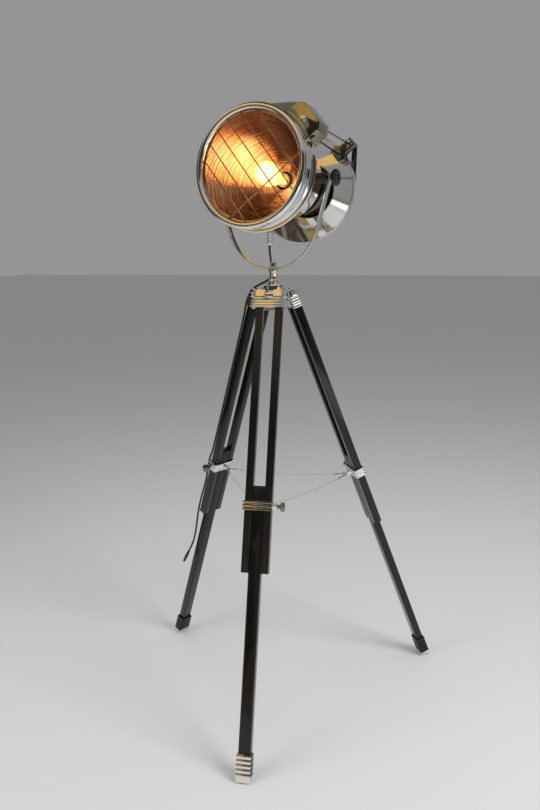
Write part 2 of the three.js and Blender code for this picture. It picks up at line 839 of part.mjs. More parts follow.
piece(frame, 'yoke', makeYoke(), 'chrome');

// The head's own frame: the tilt pivot at the origin, +Y to the rear along the lamp's axis
const head = new THREE.Group();
head.position.set(0, 0, pivotHeight);
head.rotation.x = -headTilt;
frame.add(head);
// The lamp's axis lies a little above the pivot; the fittings sit on its upper right
const barrel = new THREE.Group();
barrel.position.set(0, 0, axisRise);
head.add(barrel);
const fittings = new THREE.Group();
fittings.rotation.y = fittingsRoll;
barrel.add(fittings);
const behind = (distance) => distance - pivotDepth;

piece(barrel, 'bezel', revolve([
  [bezelOpening, behind(bezelEdge + bezelCrown)],
  [bezelOpening + bezelCrown, behind(bezelCrown)],
  [(bezelOpening + bezelRadius) / 2, behind(0)],
  [bezelRadius - bezelEdge, behind(bezelCrown / 2)],
  [bezelRadius - bezelCrown / 2, behind(bezelEdge)],
  [bezelRadius, behind(bezelEdge + bezelCrown)],
  [bezelRadius, behind(bezelLength - bezelEdge)],
  [bezelRadius - bezelEdge / 2, behind(bezelLength)],
  [drumRadius + seatGap, behind(bezelLength)],
  [drumRadius + seatGap, behind(bezelLength - bezelWall)],
  [bezelRadius - bezelWall, behind(bezelLength - bezelWall - bezelEdge / 2)],
  [bezelRadius - bezelWall, behind(bezelEdge + bezelCrown)],
  [(bezelOpening + bezelRadius) / 2, behind(bezelWall + bezelCrown / 2)],
  [bezelOpening + bezelWall, behind(bezelFaceDepth)],
  [bezelOpening, behind(bezelFaceDepth)],
], wideFacets), 'chrome');

// Housing: one spun shell, from the drum's open front over a raised lip to the dome that narrows to the neck
function domeLine(offset) {
  const line = [];
  for (let i = 0; i <= domeSteps; i += 1) {
    const share = i / domeSteps;
    const swell = 1 - share ** domePower;
    const depth = drumLength + (domeEnd - drumLength) * share;
    line.push([domeNeckRadius + (drumRadius - domeNeckRadius) * swell + offset, behind(depth)]);
  }
  return line;
}

function housingLine(offset) {
  const crown = lipHalfLength * lipCrownShare;
  const crownRadius = drumRadius + (lipRadius - drumRadius) * lipCrownShare;
  return [
    [drumRadius + offset, behind(bezelFaceDepth + seatGap)],
    [drumRadius + offset, behind(lipPosition - lipHalfLength) - offset],
    [crownRadius + offset, behind(lipPosition - crown) - offset],
    [lipRadius + offset, behind(lipPosition)],
    [crownRadius + offset, behind(lipPosition + crown) + offset],
    ...domeLine(offset),
  ];
}

// The housing's outer form, grown by the seat gap, which cuts the seats of the pieces that stand on it
function housingSeat() {
  const line = housingLine(seatGap * Math.SQRT2);
  return revolve([[0, line[0][1]], ...line, [0, line[line.length - 1][1]]], wideFacets);
}

const housingInner = [[drumRadius - drumWall, behind(bezelFaceDepth + seatGap)], ...domeLine(-drumWall)];
piece(barrel, 'housing', revolve([...housingLine(0), ...housingInner.reverse()], wideFacets), 'chrome');

// Rear neck: a short flanged tube that spaces the disc from the dome and carries the lamp holder
const neckStart = domeEnd + seatGap;
const spigotRadius = domeNeckRadius - drumWall - seatGap * 2;
const neckEnd = discFace - seatGap;
piece(barrel, 'rear_neck', revolve([
  [neckCableHole, behind(neckStart - neckSpigotLength)],
  [spigotRadius - neckSpigotLength / 2, behind(neckStart - neckSpigotLength)],
  [spigotRadius - neckSpigotLength / 2, behind(neckStart)],
  [neckFlangeRadius, behind(neckStart)],
  [neckFlangeRadius, behind(neckStart + neckFlangeThickness)],
  [neckRadius, behind(neckStart + neckFlangeThickness)],
  [neckRadius, behind(neckEnd)],
  [neckRadius - neckWall, behind(neckEnd)],
  [neckRadius - neckWall, behind(neckStart + neckWall)],
  [neckCableHole, behind(neckStart + neckWall)],
], middleFacets), 'darkChrome');

// Grille: a flat ring with six bars and one crossing bar
const grilleOuter = drumRadius - drumWall - seatGap;
const grilleDepth = bezelFaceDepth + seatGap + grilleRingThickness / 2;

function makeGrille() {
  const ringFront = behind(grilleDepth - grilleRingThickness / 2);
  const ringBack = behind(grilleDepth + grilleRingThickness / 2);
  const ring = revolve([
    [grilleOuter - grilleRingWidth, ringFront],
    [grilleOuter, ringFront],
    [grilleOuter, ringBack],
    [grilleOuter - grilleRingWidth, ringBack],
  ], wideFacets);
  const middle = grilleOuter - grilleRingWidth / 2;
  const barY = behind(grilleDepth);
  const bars = grilleRowShares.map((share) => {
    const offset = share * grillePitch;
    const half = Math.sqrt(middle ** 2 - offset ** 2);
    return rod(grilleBarRadius, [-half, barY, offset], [half, barY, offset], grilleBarFacets);
  });
  const crossHalf = Math.sqrt(middle ** 2 - grilleCrossOffset ** 2);
  const crossY = barY + grilleBarRadius / 2;
  const cross = rod(
    grilleBarRadius,
    [grilleCrossOffset, crossY, -crossHalf],
    [grilleCrossOffset, crossY, crossHalf],
    grilleBarFacets,
  );
  return join(ring, ...bars, cross);
}

piece(fittings, 'grille', makeGrille(), 'chrome');

// Reflector: a spun parabolic bowl whose flange seats behind the grille's ring
const reflectorFront = bezelFaceDepth + 2 * seatGap + grilleRingThickness + grilleBarRadius;

function reflectorProfile() {
  const inner = [];
  const outer = [];
  const depth = reflectorVertex - reflectorFront;
  const holeShare = (reflectorHole / reflectorRadius) ** 2;
  for (let i = 0; i <= reflectorSteps; i += 1) {
    const radiusShare = 1 - (1 - Math.sqrt(holeShare)) * i / reflectorSteps;
    const position = reflectorFront + depth * (1 - radiusShare ** 2);
    inner.push([reflectorRadius * radiusShare, behind(position)]);
    if (i > 0) outer.push([reflectorRadius * radiusShare + reflectorWall, behind(position + reflectorWall)]);
  }
  const flangeBack = behind(reflectorFront + reflectorFlange);
  return [
    ...inner,
    ...outer.reverse(),
    [reflectorRadius + 2 * reflectorWall, flangeBack],
    [grilleOuter, flangeBack],
    [grilleOuter, behind(reflectorFront)],
  ];
}

piece(barrel, 'reflector', revolve(reflectorProfile(), wideFacets), 'mirror');

// Lamp holder: a porcelain cup on a stem that stands on the neck's spigot
piece(barrel, 'lamp_holder', revolve([
  [0, behind(holderFront + holderBoreDepth)],
  [capRadius + runningGap, behind(holderFront + holderBoreDepth)],
  [capRadius + runningGap, behind(holderFront)],
  [holderRadius, behind(holderFront)],
  [holderRadius, behind(holderFront + holderCupLength)],
  [stemRadius, behind(holderFront + holderCupLength + stemRadius)],
  [stemRadius, behind(domeEnd - neckSpigotLength)],
  [0, behind(domeEnd - neckSpigotLength)],
], middleFacets), 'ceramic');

// Bulb: cap, pear-shaped glass open at its neck, and a caged filament that stands on the cap
const capFront = holderFront + seatGap;
piece(barrel, 'bulb_cap', revolve([
  [0, behind(capFront)],
  [capRadius, behind(capFront)],
  [capRadius, behind(capFront + capLength)],
  [capTipRadius, behind(capFront + capLength + capTipLength)],
  [0, behind(capFront + capLength + capTipLength)],
], smallFacets), 'brass');

const glassFoot = capFront - seatGap;

function bulbProfile() {
  const outer = [];
  const inner = [];
  const round = bulbLength * (1 - bulbShoulderShare);
  const taper = bulbLength * bulbShoulderShare;
  for (let i = 0; i <= bulbSteps; i += 1) {
    const turn = (Math.PI / 2) * i / bulbSteps;
    const swell = Math.sin(turn);
    const tip = glassFoot - bulbLength;
    outer.push([bulbRadius * swell, behind(tip + round * (1 - Math.cos(turn)))]);
    inner.push([(bulbRadius - bulbWall) * swell, behind(tip + round - (round - bulbWall) * Math.cos(turn))]);
  }
  for (let i = 1; i <= bulbSteps; i += 1) {
    const share = i / bulbSteps;
    const waist = (1 + Math.cos(Math.PI * share)) / 2;
    const position = behind(glassFoot - taper * (1 - share));
    outer.push([bulbNeckRadius + (bulbRadius - bulbNeckRadius) * waist, position]);
    inner.push([bulbNeckRadius - bulbWall + (bulbRadius - bulbNeckRadius) * waist, position]);
  }
  return [...outer, ...inner.reverse()];
}

piece(barrel, 'bulb_glass', revolve(bulbProfile(), middleFacets), 'glass');

function makeFilament() {
  const foot = behind(glassFoot - seatGap);
  const near = behind(glassFoot - bulbLength * filamentFootShare);
  const far = behind(glassFoot - bulbLength * filamentTopShare);
  const points = [new THREE.Vector3(-filamentCage / 2, foot, 0)];
  for (let i = 0; i < filamentRuns; i += 1) {
    const turn = Math.PI + 2 * Math.PI * (i + 0.5) / filamentRuns;
    const [x, z] = [filamentCage * Math.cos(turn), filamentCage * Math.sin(turn)];
    const ends = i % 2 === 0 ? [near, far] : [far, near];
    points.push(new THREE.Vector3(x, ends[0], z), new THREE.Vector3(x, ends[1], z));
  }
  points.push(new THREE.Vector3(filamentCage / 2, foot, 0));
  return tube(points, filamentRadius, filamentSides, filamentSteps);
}

piece(barrel, 'filament', makeFilament(), 'filament');

// Cable gland: a ribbed dome nut on the drum's underside
function makeGland() {
  const end = glandReach;
  const top = end - glandLength;
  const root = domeNeckRadius;
  const ribPitch = glandLength / (glandRibCount * 2 + 1);
  const profile = [[0, root], [glandRadius, root]];
  for (let i = 0; i < glandRibCount; i += 1) {
    const start = top + ribPitch * 2 * i;
    profile.push([glandRadius, start + ribPitch], [glandNeckRadius, start + ribPitch], [glandNeckRadius, start + 2 * ribPitch]);
    profile.push([glandRadius, start + 2 * ribPitch]);
  }
  profile.push([glandNeckRadius, end], [glandBore, end], [glandBore, end - glandBoreDepth], [0, end - glandBoreDepth]);
  const nut = revolve(profile, smallFacets).rotateX(-Math.PI / 2).translate(0, behind(glandDepth), 0);
  return cut(nut, housingSeat());
}

piece(barrel, 'cable_gland', makeGland(), 'chrome');

// Tilt spacers and knobs, one pair at each arm of the yoke: the spacer's stud passes the arm and the knob turns on it
for (const [side, sign] of [['right', 1], ['left', -1]]) {
  const armInner = yokeHalfSpan - yokeThickness / 2 / Math.cos(yokeFlare);
  const armOuter = yokeHalfSpan + yokeThickness / 2 / Math.cos(yokeFlare);
  const lean = spacerRadius * Math.tan(yokeFlare);
  const seat = armOuter + tiltKnobRadius * Math.tan(yokeFlare) + seatGap;
  const back = seat + tiltKnobThickness;
  const studEnd = seat + tiltStudEngagement;
  const spacer = rod(spacerRadius, [0, 0, 0], [sign * (armInner - lean - seatGap), 0, 0], middleFacets);
  const stud = rod(tiltStudRadius, [0, 0, 0], [sign * studEnd, 0, 0], smallFacets);
  const seatOnHousing = housingSeat().translate(0, 0, axisRise);
  piece(head, `tilt_spacer_${side}`, cut(join(spacer, stud), seatOnHousing), 'blackPlastic');

  const knob = revolve([
    [0, studEnd + seatGap],
    [tiltStudRadius + runningGap, studEnd + seatGap],
    [tiltStudRadius + runningGap, seat],
    [tiltKnobRadius - tiltKnobEdge, seat],
    [tiltKnobRadius, seat + tiltKnobEdge],
    [tiltKnobRadius, back - tiltKnobEdge],
    [tiltKnobRadius - tiltKnobEdge, back],
    [tiltKnobRecess, back],
    [tiltKnobRecess, back - tiltKnobRecessDepth],
    [tiltKnobScrew, back - tiltKnobRecessDepth],
    [tiltKnobScrew, back - tiltKnobRecessDepth / 3],
    [0, back - tiltKnobRecessDepth / 3],
  ], middleFacets);
  piece(head, `tilt_knob_${side}`, sign > 0 ? alongX(knob) : alongX(knob).rotateY(Math.PI), 'blackPlastic');
}

// Condenser box: a faceted cover on the drum, with a wing on its upper side, a vent and a knurled screw
function makeBox() {
  const front = behind(boxFront);
  const back = behind(boxRear);
  const face = [
    [-boxHalfWidth, boxFoot], [-boxHalfWidth, boxShoulder], [-boxCrownHalfWidth, boxHeight],
    [boxCrownHalfWidth, boxHeight], [boxHalfWidth, boxShoulder], [boxHalfWidth, boxFoot],
  ];
  const corners = [];
  for (const [x, z] of face) corners.push(new THREE.Vector3(x, front, z), new THREE.Vector3(x, back, z));
  corners.push(new THREE.Vector3(-boxWingReach, back, boxHeight - boxWingDrop));
  corners.push(new THREE.Vector3(-boxWingElbow, back, boxHeight - boxWingElbowDrop));
  const cover = new ConvexGeometry(corners);
  const inside = [];
  for (const [x, z] of face) {
    const [innerX, innerZ] = [x - Math.sign(x) * boxWall, z - boxWall];
    inside.push(new THREE.Vector3(innerX, front + boxWall, innerZ), new THREE.Vector3(innerX, back - boxWall, innerZ));
  }
  const hollow = new ConvexGeometry(inside);
  const vent = rod(
    boxVentRadius,
    [-boxVentOffset, (front + back) / 2, boxHeight - boxVentDepth - boxVentRadius],
    [-boxVentOffset, (front + back) / 2, boxHeight + cutOverrun],
    smallFacets,
  );
  return cut(cover, hollow, housingSeat(), vent);
}

piece(fittings, 'condenser_box', makeBox(), 'chrome');

piece(fittings, 'box_screw', revolve([
  [0, -boxScrewHeight],
  [boxScrewRadius * boxScrewStepShares[0], -boxScrewHeight],
  [boxScrewRadius * boxScrewStepShares[0], -boxScrewHeight * boxScrewStepShares[1]],
  [boxScrewRadius * boxScrewStepShares[2], -boxScrewHeight * boxScrewStepShares[1]],
  [boxScrewRadius, -boxScrewHeight * boxScrewStepShares[0]],
  [boxScrewRadius, 0],
  [0, 0],
], boxScrewFacets).translate(0, behind(boxFront) - seatGap, boxHeight - boxScrewDrop), 'chrome');

// Rods from the box to the rear bracket
for (const [side, ends] of [['upper', rodUpper], ['lower', rodLower]]) {
  const across = Math.hypot(ends.frontOffset - ends.rearOffset, ends.frontDrop - ends.rearDrop);
  const clearance = seatGap + rodRadius * across / (rearBracketFront - boxRear);
  piece(fittings, `guide_rod_${side}`, rod(
    rodRadius,
    [ends.frontOffset, behind(boxRear + clearance), boxHeight - ends.frontDrop],
    [ends.rearOffset, behind(rearBracketFront - clearance), boxHeight - ends.rearDrop],
    grilleBarFacets,
  ), 'darkChrome');
}

// Rear bracket: a forked casting that seats in the disc's rim, takes both rods and holds the pin above the rim
function makeRearBracket() {
  const inner = discRadius - rearBracketOverlap;
  const shoulder = discRadius - rearBracketShoulderDepth;
  const top = discRadius + rearBracketRise;
  const outline = outlineOf([
    [-rearBracketFoot, inner],
    [rearBracketFoot, inner],
    [rearBracketHalfWidth, shoulder],
    [rearBracketHead, shoulder + rearBracketHead],
    [rearBracketHead, top],
    [-rearBracketHead, top],
    [-rearBracketHead, shoulder + rearBracketHead],
    [-rearBracketHalfWidth, shoulder],
  ]);
  const slab = prism(outline, discFace - seatGap - rearBracketFront)
    .rotateX(Math.PI / 2)
    .translate(0, behind(discFace - seatGap), 0);
  const rimInner = discRadius - discRimWall - seatGap;
  const seat = revolve([
    [rimInner, behind(discRimFront - seatGap)],
    [boxHeight * 2, behind(discRimFront - seatGap)],
    [boxHeight * 2, behind(discFace + cutOverrun)],
    [rimInner, behind(discFace + cutOverrun)],
  ], wideFacets);
  const pinBore = rod(
    pinRadius + runningGap,
    [pinOffset, behind(rearBracketFront - cutOverrun), pinHeight],
    [pinOffset, behind(discFace + cutOverrun), pinHeight],
    smallFacets,
  );
  return cut(slab, seat, pinBore);
}

piece(fittings, 'rear_bracket', makeRearBracket(), 'darkChrome');

// Rear disc: a flat polished plate with a rolled rim that stands proud on both sides
piece(fittings, 'rear_disc', revolve([
  [0, behind(discFace)],
  [discRadius - discRimWall, behind(discFace)],
  [discRadius - discRimWall, behind(discRimFront + discRimWall / 2)],
  [discRadius - discRimWall / 2, behind(discRimFront)],
  [discRadius, behind(discRimFront + discRimWall / 2)],
  [discRadius, behind(discRimFront + discRimLength)],
  [discRadius - discRimWall, behind(discRimFront + discRimLength)],
  [discRadius - discRimWall, behind(discFace + discPlate)],
  [0, behind(discFace + discPlate)],
], wideFacets), 'chrome');

// Hinge pin with a ball at each end
function makePin() {
  const end = barStart + barBarrelLength + seatGap;
  const ball = (centre, from, to) => {
    const points = [];
    for (let i = 1; i < 6; i += 1) {
      const turn = from + (to - from) * i / 6;
      points.push([pinBallRadius * Math.sin(turn), behind(centre) - pinBallRadius * Math.cos(turn)]);
    }
    return points;
  };
  const neck = Math.asin(pinRadius / pinBallRadius);
  const shift = pinBallRadius * Math.cos(neck);
  const frontCentre = rearBracketFront - seatGap - shift;
  const rearCentre = end + shift;
  return revolve([
    [0, behind(frontCentre - pinBallRadius)],
    ...ball(frontCentre, 0, Math.PI - neck),
    [pinRadius, behind(frontCentre + shift)],
    [pinRadius, behind(end)],
    ...ball(rearCentre, neck, Math.PI),
    [0, behind(rearCentre + pinBallRadius)],
  ], smallFacets).translate(pinOffset, 0, pinHeight);
}

piece(fittings, 'hinge_pin', makePin(), 'chrome');

// Hanging bar: it swings on the pin and hangs plumb, so its group turns back by the roll
const barPivot = new THREE.Group();
barPivot.position.set(pinOffset, behind(barStart), pinHeight);
barPivot.rotation.y = -fittingsRoll;
fittings.add(barPivot);

function makeBar() {
  const barrel = rod(barBarrelRadius, [0, 0, 0], [0, barBarrelLength, 0], smallFacets);
  const blade = block([barWidth, barThickness, barLength], [0, barBarrelLength / 2, -barLength / 2]);
  const bore = rod(
    pinRadius + runningGap,
    [0, -cutOverrun, 0],
    [0, barBarrelLength + cutOverrun, 0],
    smallFacets,
  );
  return cut(join(barrel, blade), bore);
}

piece(barPivot, 'rear_bar', makeBar(), 'darkChrome');

// Cord: it leaves the gland, passes behind the yoke's foot and the post, and lies down the left leg to its plug
frame.updateMatrixWorld(true);
const glandMouth = new THREE.Vector3(0, behind(glandDepth), -glandReach);
const cordStart = glandMouth.clone().add(new THREE.Vector3(0, 0, cordInsertion)).applyMatrix4(barrel.matrixWorld);
const fromHub = ([x, y, z]) => new THREE.Vector3(x, y, hubTop + z);
const cordPoints = [
  cordStart,
  glandMouth.clone().applyMatrix4(barrel.matrixWorld),
  glandMouth.clone().sub(new THREE.Vector3(0, 0, cordLead)).applyMatrix4(barrel.matrixWorld),
  ...cordRoute.yoke.map(fromHub),
  ...cordRoute.hub.map(fromHub),
  ...cordOnLeg.map(([x, y, distance]) => fromLeg(legs.left, x, y, distance)),
];
const cordCurve = new THREE.CatmullRomCurve3(cordPoints, false, 'centripetal');

// A part of a longer curve, so that neighbours leave their joint in one line
class Stretch extends THREE.Curve {
  constructor(whole, from, to) {
    super();
    Object.assign(this, { whole, from, to });
  }

  getPoint(t, target = new THREE.Vector3()) {
    return this.whole.getPoint(this.from + (this.to - this.from) * t, target);
  }
}

function makeCordStretch(first, last) {
  const spans = cordPoints.length - 1;
  const step = 1 / spans / cordStepLength;
  const speed = cordCurve.getPoint(last / spans).distanceTo(cordCurve.getPoint(last / spans - step)) / step;
  const path = new Stretch(cordCurve, first / spans, last / spans - cordJointGap / speed);
  const section = new THREE.Shape();
  for (let i = 0; i < cordSides; i += 1) {
    const turn = 2 * Math.PI * i / cordSides;
    section[i === 0 ? 'moveTo' : 'lineTo'](cordRadius * Math.cos(turn), cordRadius * Math.sin(turn));
  }
  section.closePath();
  const steps = Math.ceil(path.getLength() / cordStepLength);
  return outward(new THREE.ExtrudeGeometry(section, { steps, extrudePath: path, curveSegments: 1 }));
}

const yokeEnd = 2 + cordRoute.yoke.length;
const hubEnd = yokeEnd + cordRoute.hub.length;
const cordEnd = cordPoints.length - 1;
piece(cords, 'cord_head', makeCordStretch(0, yokeEnd), 'cord');
piece(cords, 'cord_post', makeCordStretch(yokeEnd, hubEnd), 'cord');
piece(cords, 'cord_leg', makeCordStretch(hubEnd, cordEnd), 'cord');

// Plug: a slim round body in line with the cord's end
const plug = piece(cords, 'cord_plug', revolve([
  [0, 0],
  [plugNeckRadius, 0],
  [plugRadius, plugTaper],
  [plugRadius, plugLength - plugTaper / 2],
  [plugNeckRadius, plugLength],
  [0, plugLength],
], smallFacets), 'cord');
plug.position.copy(cordCurve.getPoint(1));
plug.quaternion.setFromUnitVectors(new THREE.Vector3(0, 1, 0), cordCurve.getTangent(1));

// The origin is the middle of the lamp's box without its cord, on the floor
const outerBox = new THREE.Box3().setFromObject(frame, true);
const middle = outerBox.getCenter(new THREE.Vector3());
lamp.position.set(-middle.x, -middle.y, -outerBox.min.z);
lamp.updateMatrixWorld(true);

export default lamp;
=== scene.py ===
"""Looks of a tripod spotlight floor lamp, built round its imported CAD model.

A depth is measured from the front of the head toward its back.
"""

import json
import math

import bmesh
import bpy
from mathutils import Matrix, Vector


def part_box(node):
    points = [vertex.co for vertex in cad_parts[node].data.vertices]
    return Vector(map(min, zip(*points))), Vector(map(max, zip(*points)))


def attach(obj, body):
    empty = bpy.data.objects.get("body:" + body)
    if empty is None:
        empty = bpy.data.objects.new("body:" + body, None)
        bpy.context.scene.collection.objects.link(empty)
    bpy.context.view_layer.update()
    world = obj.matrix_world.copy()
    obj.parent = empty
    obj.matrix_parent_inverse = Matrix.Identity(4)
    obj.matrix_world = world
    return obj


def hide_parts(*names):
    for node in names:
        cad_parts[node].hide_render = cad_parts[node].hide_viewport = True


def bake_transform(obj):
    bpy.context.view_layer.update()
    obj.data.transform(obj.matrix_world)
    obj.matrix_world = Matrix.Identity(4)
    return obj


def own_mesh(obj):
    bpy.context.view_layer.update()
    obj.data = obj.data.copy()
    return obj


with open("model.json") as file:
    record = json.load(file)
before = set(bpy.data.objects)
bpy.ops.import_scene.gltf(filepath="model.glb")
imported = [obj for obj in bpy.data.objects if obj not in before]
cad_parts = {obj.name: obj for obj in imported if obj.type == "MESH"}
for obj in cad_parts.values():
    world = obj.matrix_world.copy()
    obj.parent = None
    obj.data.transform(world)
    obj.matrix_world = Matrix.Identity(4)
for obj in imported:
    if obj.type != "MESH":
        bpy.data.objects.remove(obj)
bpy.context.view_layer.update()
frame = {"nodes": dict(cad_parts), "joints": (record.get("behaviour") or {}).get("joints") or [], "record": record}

MM = 0.001
NODES = frame["nodes"]
BODY_OF = {n: b for b, members in frame["record"]["behaviour"]["bodies"].items() for n in members}
SLOT_OF = {s["node"]: s["material_slot"] for s in frame["record"]["subparts"]}
JOINTS = {j["name"]: j for j in frame["joints"]}

# ---- Sizes shared with the solids ----

HEAD_TILT = math.radians(8)
WIDE_FACETS, ROLL_FACETS = 28, 4
FITTINGS_ROLL = 2 * math.pi * ROLL_FACETS / WIDE_FACETS
PIVOT_DEPTH, AXIS_RISE = 130, 15
SEAT_GAP = 0.3

BEZEL_RADIUS, BEZEL_OPENING, BEZEL_LENGTH, BEZEL_WALL = 157, 138.5, 26, 2.5
BEZEL_CHAMFER, BEZEL_SEAM, CROWN_DEPTH, CROWN_WALL = 3, 4, 9.5, 2.6
DRUM_RADIUS, DRUM_WALL, DRUM_LENGTH, DRUM_FRONT = 150, 1.2, 68, 10.3
LIP_POSITION, LIP_HALF, LIP_RADIUS, LIP_FULLNESS = 64, 4, 158, 0.85
CONE_END, CONE_NECK_RADIUS, CONE_POWER, CONE_SEAM = 312, 74, 1.12, 0.01
NECK_RADIUS, NECK_WALL, NECK_BORE = 67, 2, 4.5
NECK_FLANGE, NECK_FLANGE_WIDTH, NECK_SPIGOT, NECK_SPIGOT_STEP = 77, 5, 8, 5.8
DISC_FACE, DISC_RADIUS, DISC_WALL, DISC_FRONT, DISC_RIM, DISC_PLATE = 342, 153, 3, 335, 15, 2

REFLECTOR_RADIUS, REFLECTOR_VERTEX, REFLECTOR_HOLE = 134, 212, 24
REFLECTOR_FRONT, REFLECTOR_WALL, REFLECTOR_FLANGE = 15.3, 1.2, 1.5
HOLDER_RADIUS, HOLDER_BORE, HOLDER_STEM = 19, 13.55, 8
HOLDER_FRONT, HOLDER_FLOOR, HOLDER_SHOULDER, HOLDER_BACK, STEM_END = 200, 234, 242, 250, 304
CAP_FRONT, CAP_SHELL, CAP_LENGTH = 200.3, 24, 29
CAP_RADIUS, CAP_MOUTH, CAP_CONTACT, CAP_THREAD, CAP_TURNS = 12.6, 12.2, 5, 0.6, 5
GLASS_FOOT, GLASS_LENGTH, GLASS_RADIUS, GLASS_NECK, GLASS_WALL = 200, 138, 32, 12.5, 0.9
GLASS_TAPER_SHARE = 0.66
FILAMENT_RADIUS, FILAMENT_FOOT, FILAMENT_WIRE, FILAMENT_POSTS = 9, 4.5, 0.5, 6
FILAMENT_NEAR_SHARE, FILAMENT_FAR_SHARE = 0.3, 0.78

GRILLE_RING, GRILLE_HALF, GRILLE_WIRE, GRILLE_BEAD = 5, 1.5, 1.7, 3.4
GRILLE_PITCH, GRILLE_CROSS_OFFSET, GRILLE_CROSS_STEP = 37, 63, 0.85
BEAD_FLATNESS, BEAD_PLACE_SHARE = 0.62, 0.985
GRILLE_ROWS = (-2.5, -1.5, -0.5, 0.5, 1.5, 2.5)
GLAND_DEPTH, GLAND_REACH, GLAND_LENGTH, GLAND_ROOT = 135, 183, 34, 133
GLAND_RADIUS, GLAND_GROOVE, GLAND_BORE, GLAND_BORE_DEPTH = 9, 6.5, 3.6, 20
GLAND_RIBS, GLAND_RIB_SLOPE = 4, 0.15
YOKE_FLARE, YOKE_THICKNESS, YOKE_TOP = math.radians(17), 3, 14
SPACER_START, SPACER_RADIUS, STUD_RADIUS, STUD_REACH = 134.5, 13, 4, 8
KNOB_RADIUS, KNOB_LENGTH, KNOB_CHAMFER, KNOB_BORE = 21, 13, 3, 4.35
KNOB_HOLLOW, KNOB_BOSS, KNOB_FLUTES, KNOB_FLUTE_SHARE = 8, 3.5, 24, 0.018
KNOB_HOLLOW_DEPTH, KNOB_BOSS_DEPTH, KNOB_FLUTED_RADIUS = 3, 1, 20.4

HUB_TOP = 1190
FOOT_RADIUS, HINGE_RADIUS, HINGE_ABOVE_FOOT = 471.5, 45, 1161
CLAMP_DISTANCE, HOOK_X, HOOK_SIDE = 559, -29.15, 3.2
LEG_LEAN = math.atan2(FOOT_RADIUS - HINGE_RADIUS, HINGE_ABOVE_FOOT)
LEG_ANGLES = {"front": math.radians(-76), "right": math.radians(44), "left": math.radians(164)}

# ---- Frames of the head and the legs, as matrices in metres ----

PIVOT = Vector(JOINTS["head_tilt"]["pos_m"])
HEAD = Matrix.Translation(PIVOT) @ Matrix.Rotation(-HEAD_TILT, 4, "X")
BARREL = HEAD @ Matrix.Translation((0, 0, AXIS_RISE * MM))
FITTINGS = BARREL @ Matrix.Rotation(FITTINGS_ROLL, 4, "Y")
AXIS = Matrix.Translation((PIVOT.x, PIVOT.y, 0))


def leg_matrix(side):
    """The leg's frame: its hinge, X outward and Z up along the leg."""
    hinge = Vector(JOINTS[f"leg_{side}_fold"]["pos_m"])
    return (
        Matrix.Translation(hinge)
        @ Matrix.Rotation(LEG_ANGLES[side], 4, "Z")
        @ Matrix.Rotation(-LEG_LEAN, 4, "Y")
    )


def behind(depth):
    """The place along the barrel, from the tilt pivot, of a depth."""
    return depth - PIVOT_DEPTH


# ---- Camera, fitted to the photograph ----

PHOTO_FOCAL_PX, PHOTO_LONG_SIDE_PX = 801.5, 810
CAMERA_YAW, CAMERA_PITCH, CAMERA_ROLL = math.radians(27.3), math.radians(12.3), math.radians(-1.5)
CAMERA_PLACE = (991.8, -1962.8, 1331.0)
SENSOR_WIDTH = 36
SIGHT_END_M = 60

CAMERA_TURN = Matrix.Rotation(CAMERA_YAW, 4, "Z")
camera_data = bpy.data.cameras.new("camera")
camera = bpy.data.objects.new("camera", camera_data)
bpy.context.scene.collection.objects.link(camera)
camera_data.sensor_width = SENSOR_WIDTH
camera_data.lens = PHOTO_FOCAL_PX / PHOTO_LONG_SIDE_PX * SENSOR_WIDTH
camera.matrix_world = (
    AXIS
    @ Matrix.Translation(Vector(CAMERA_PLACE) * MM)
    @ CAMERA_TURN
    @ Matrix.Rotation(math.pi / 2 - CAMERA_PITCH, 4, "X")
    @ Matrix.Rotation(CAMERA_ROLL, 4, "Z")
)
camera_data.clip_end = SIGHT_END_M
bpy.context.scene.camera = camera

# ---- Materials ----


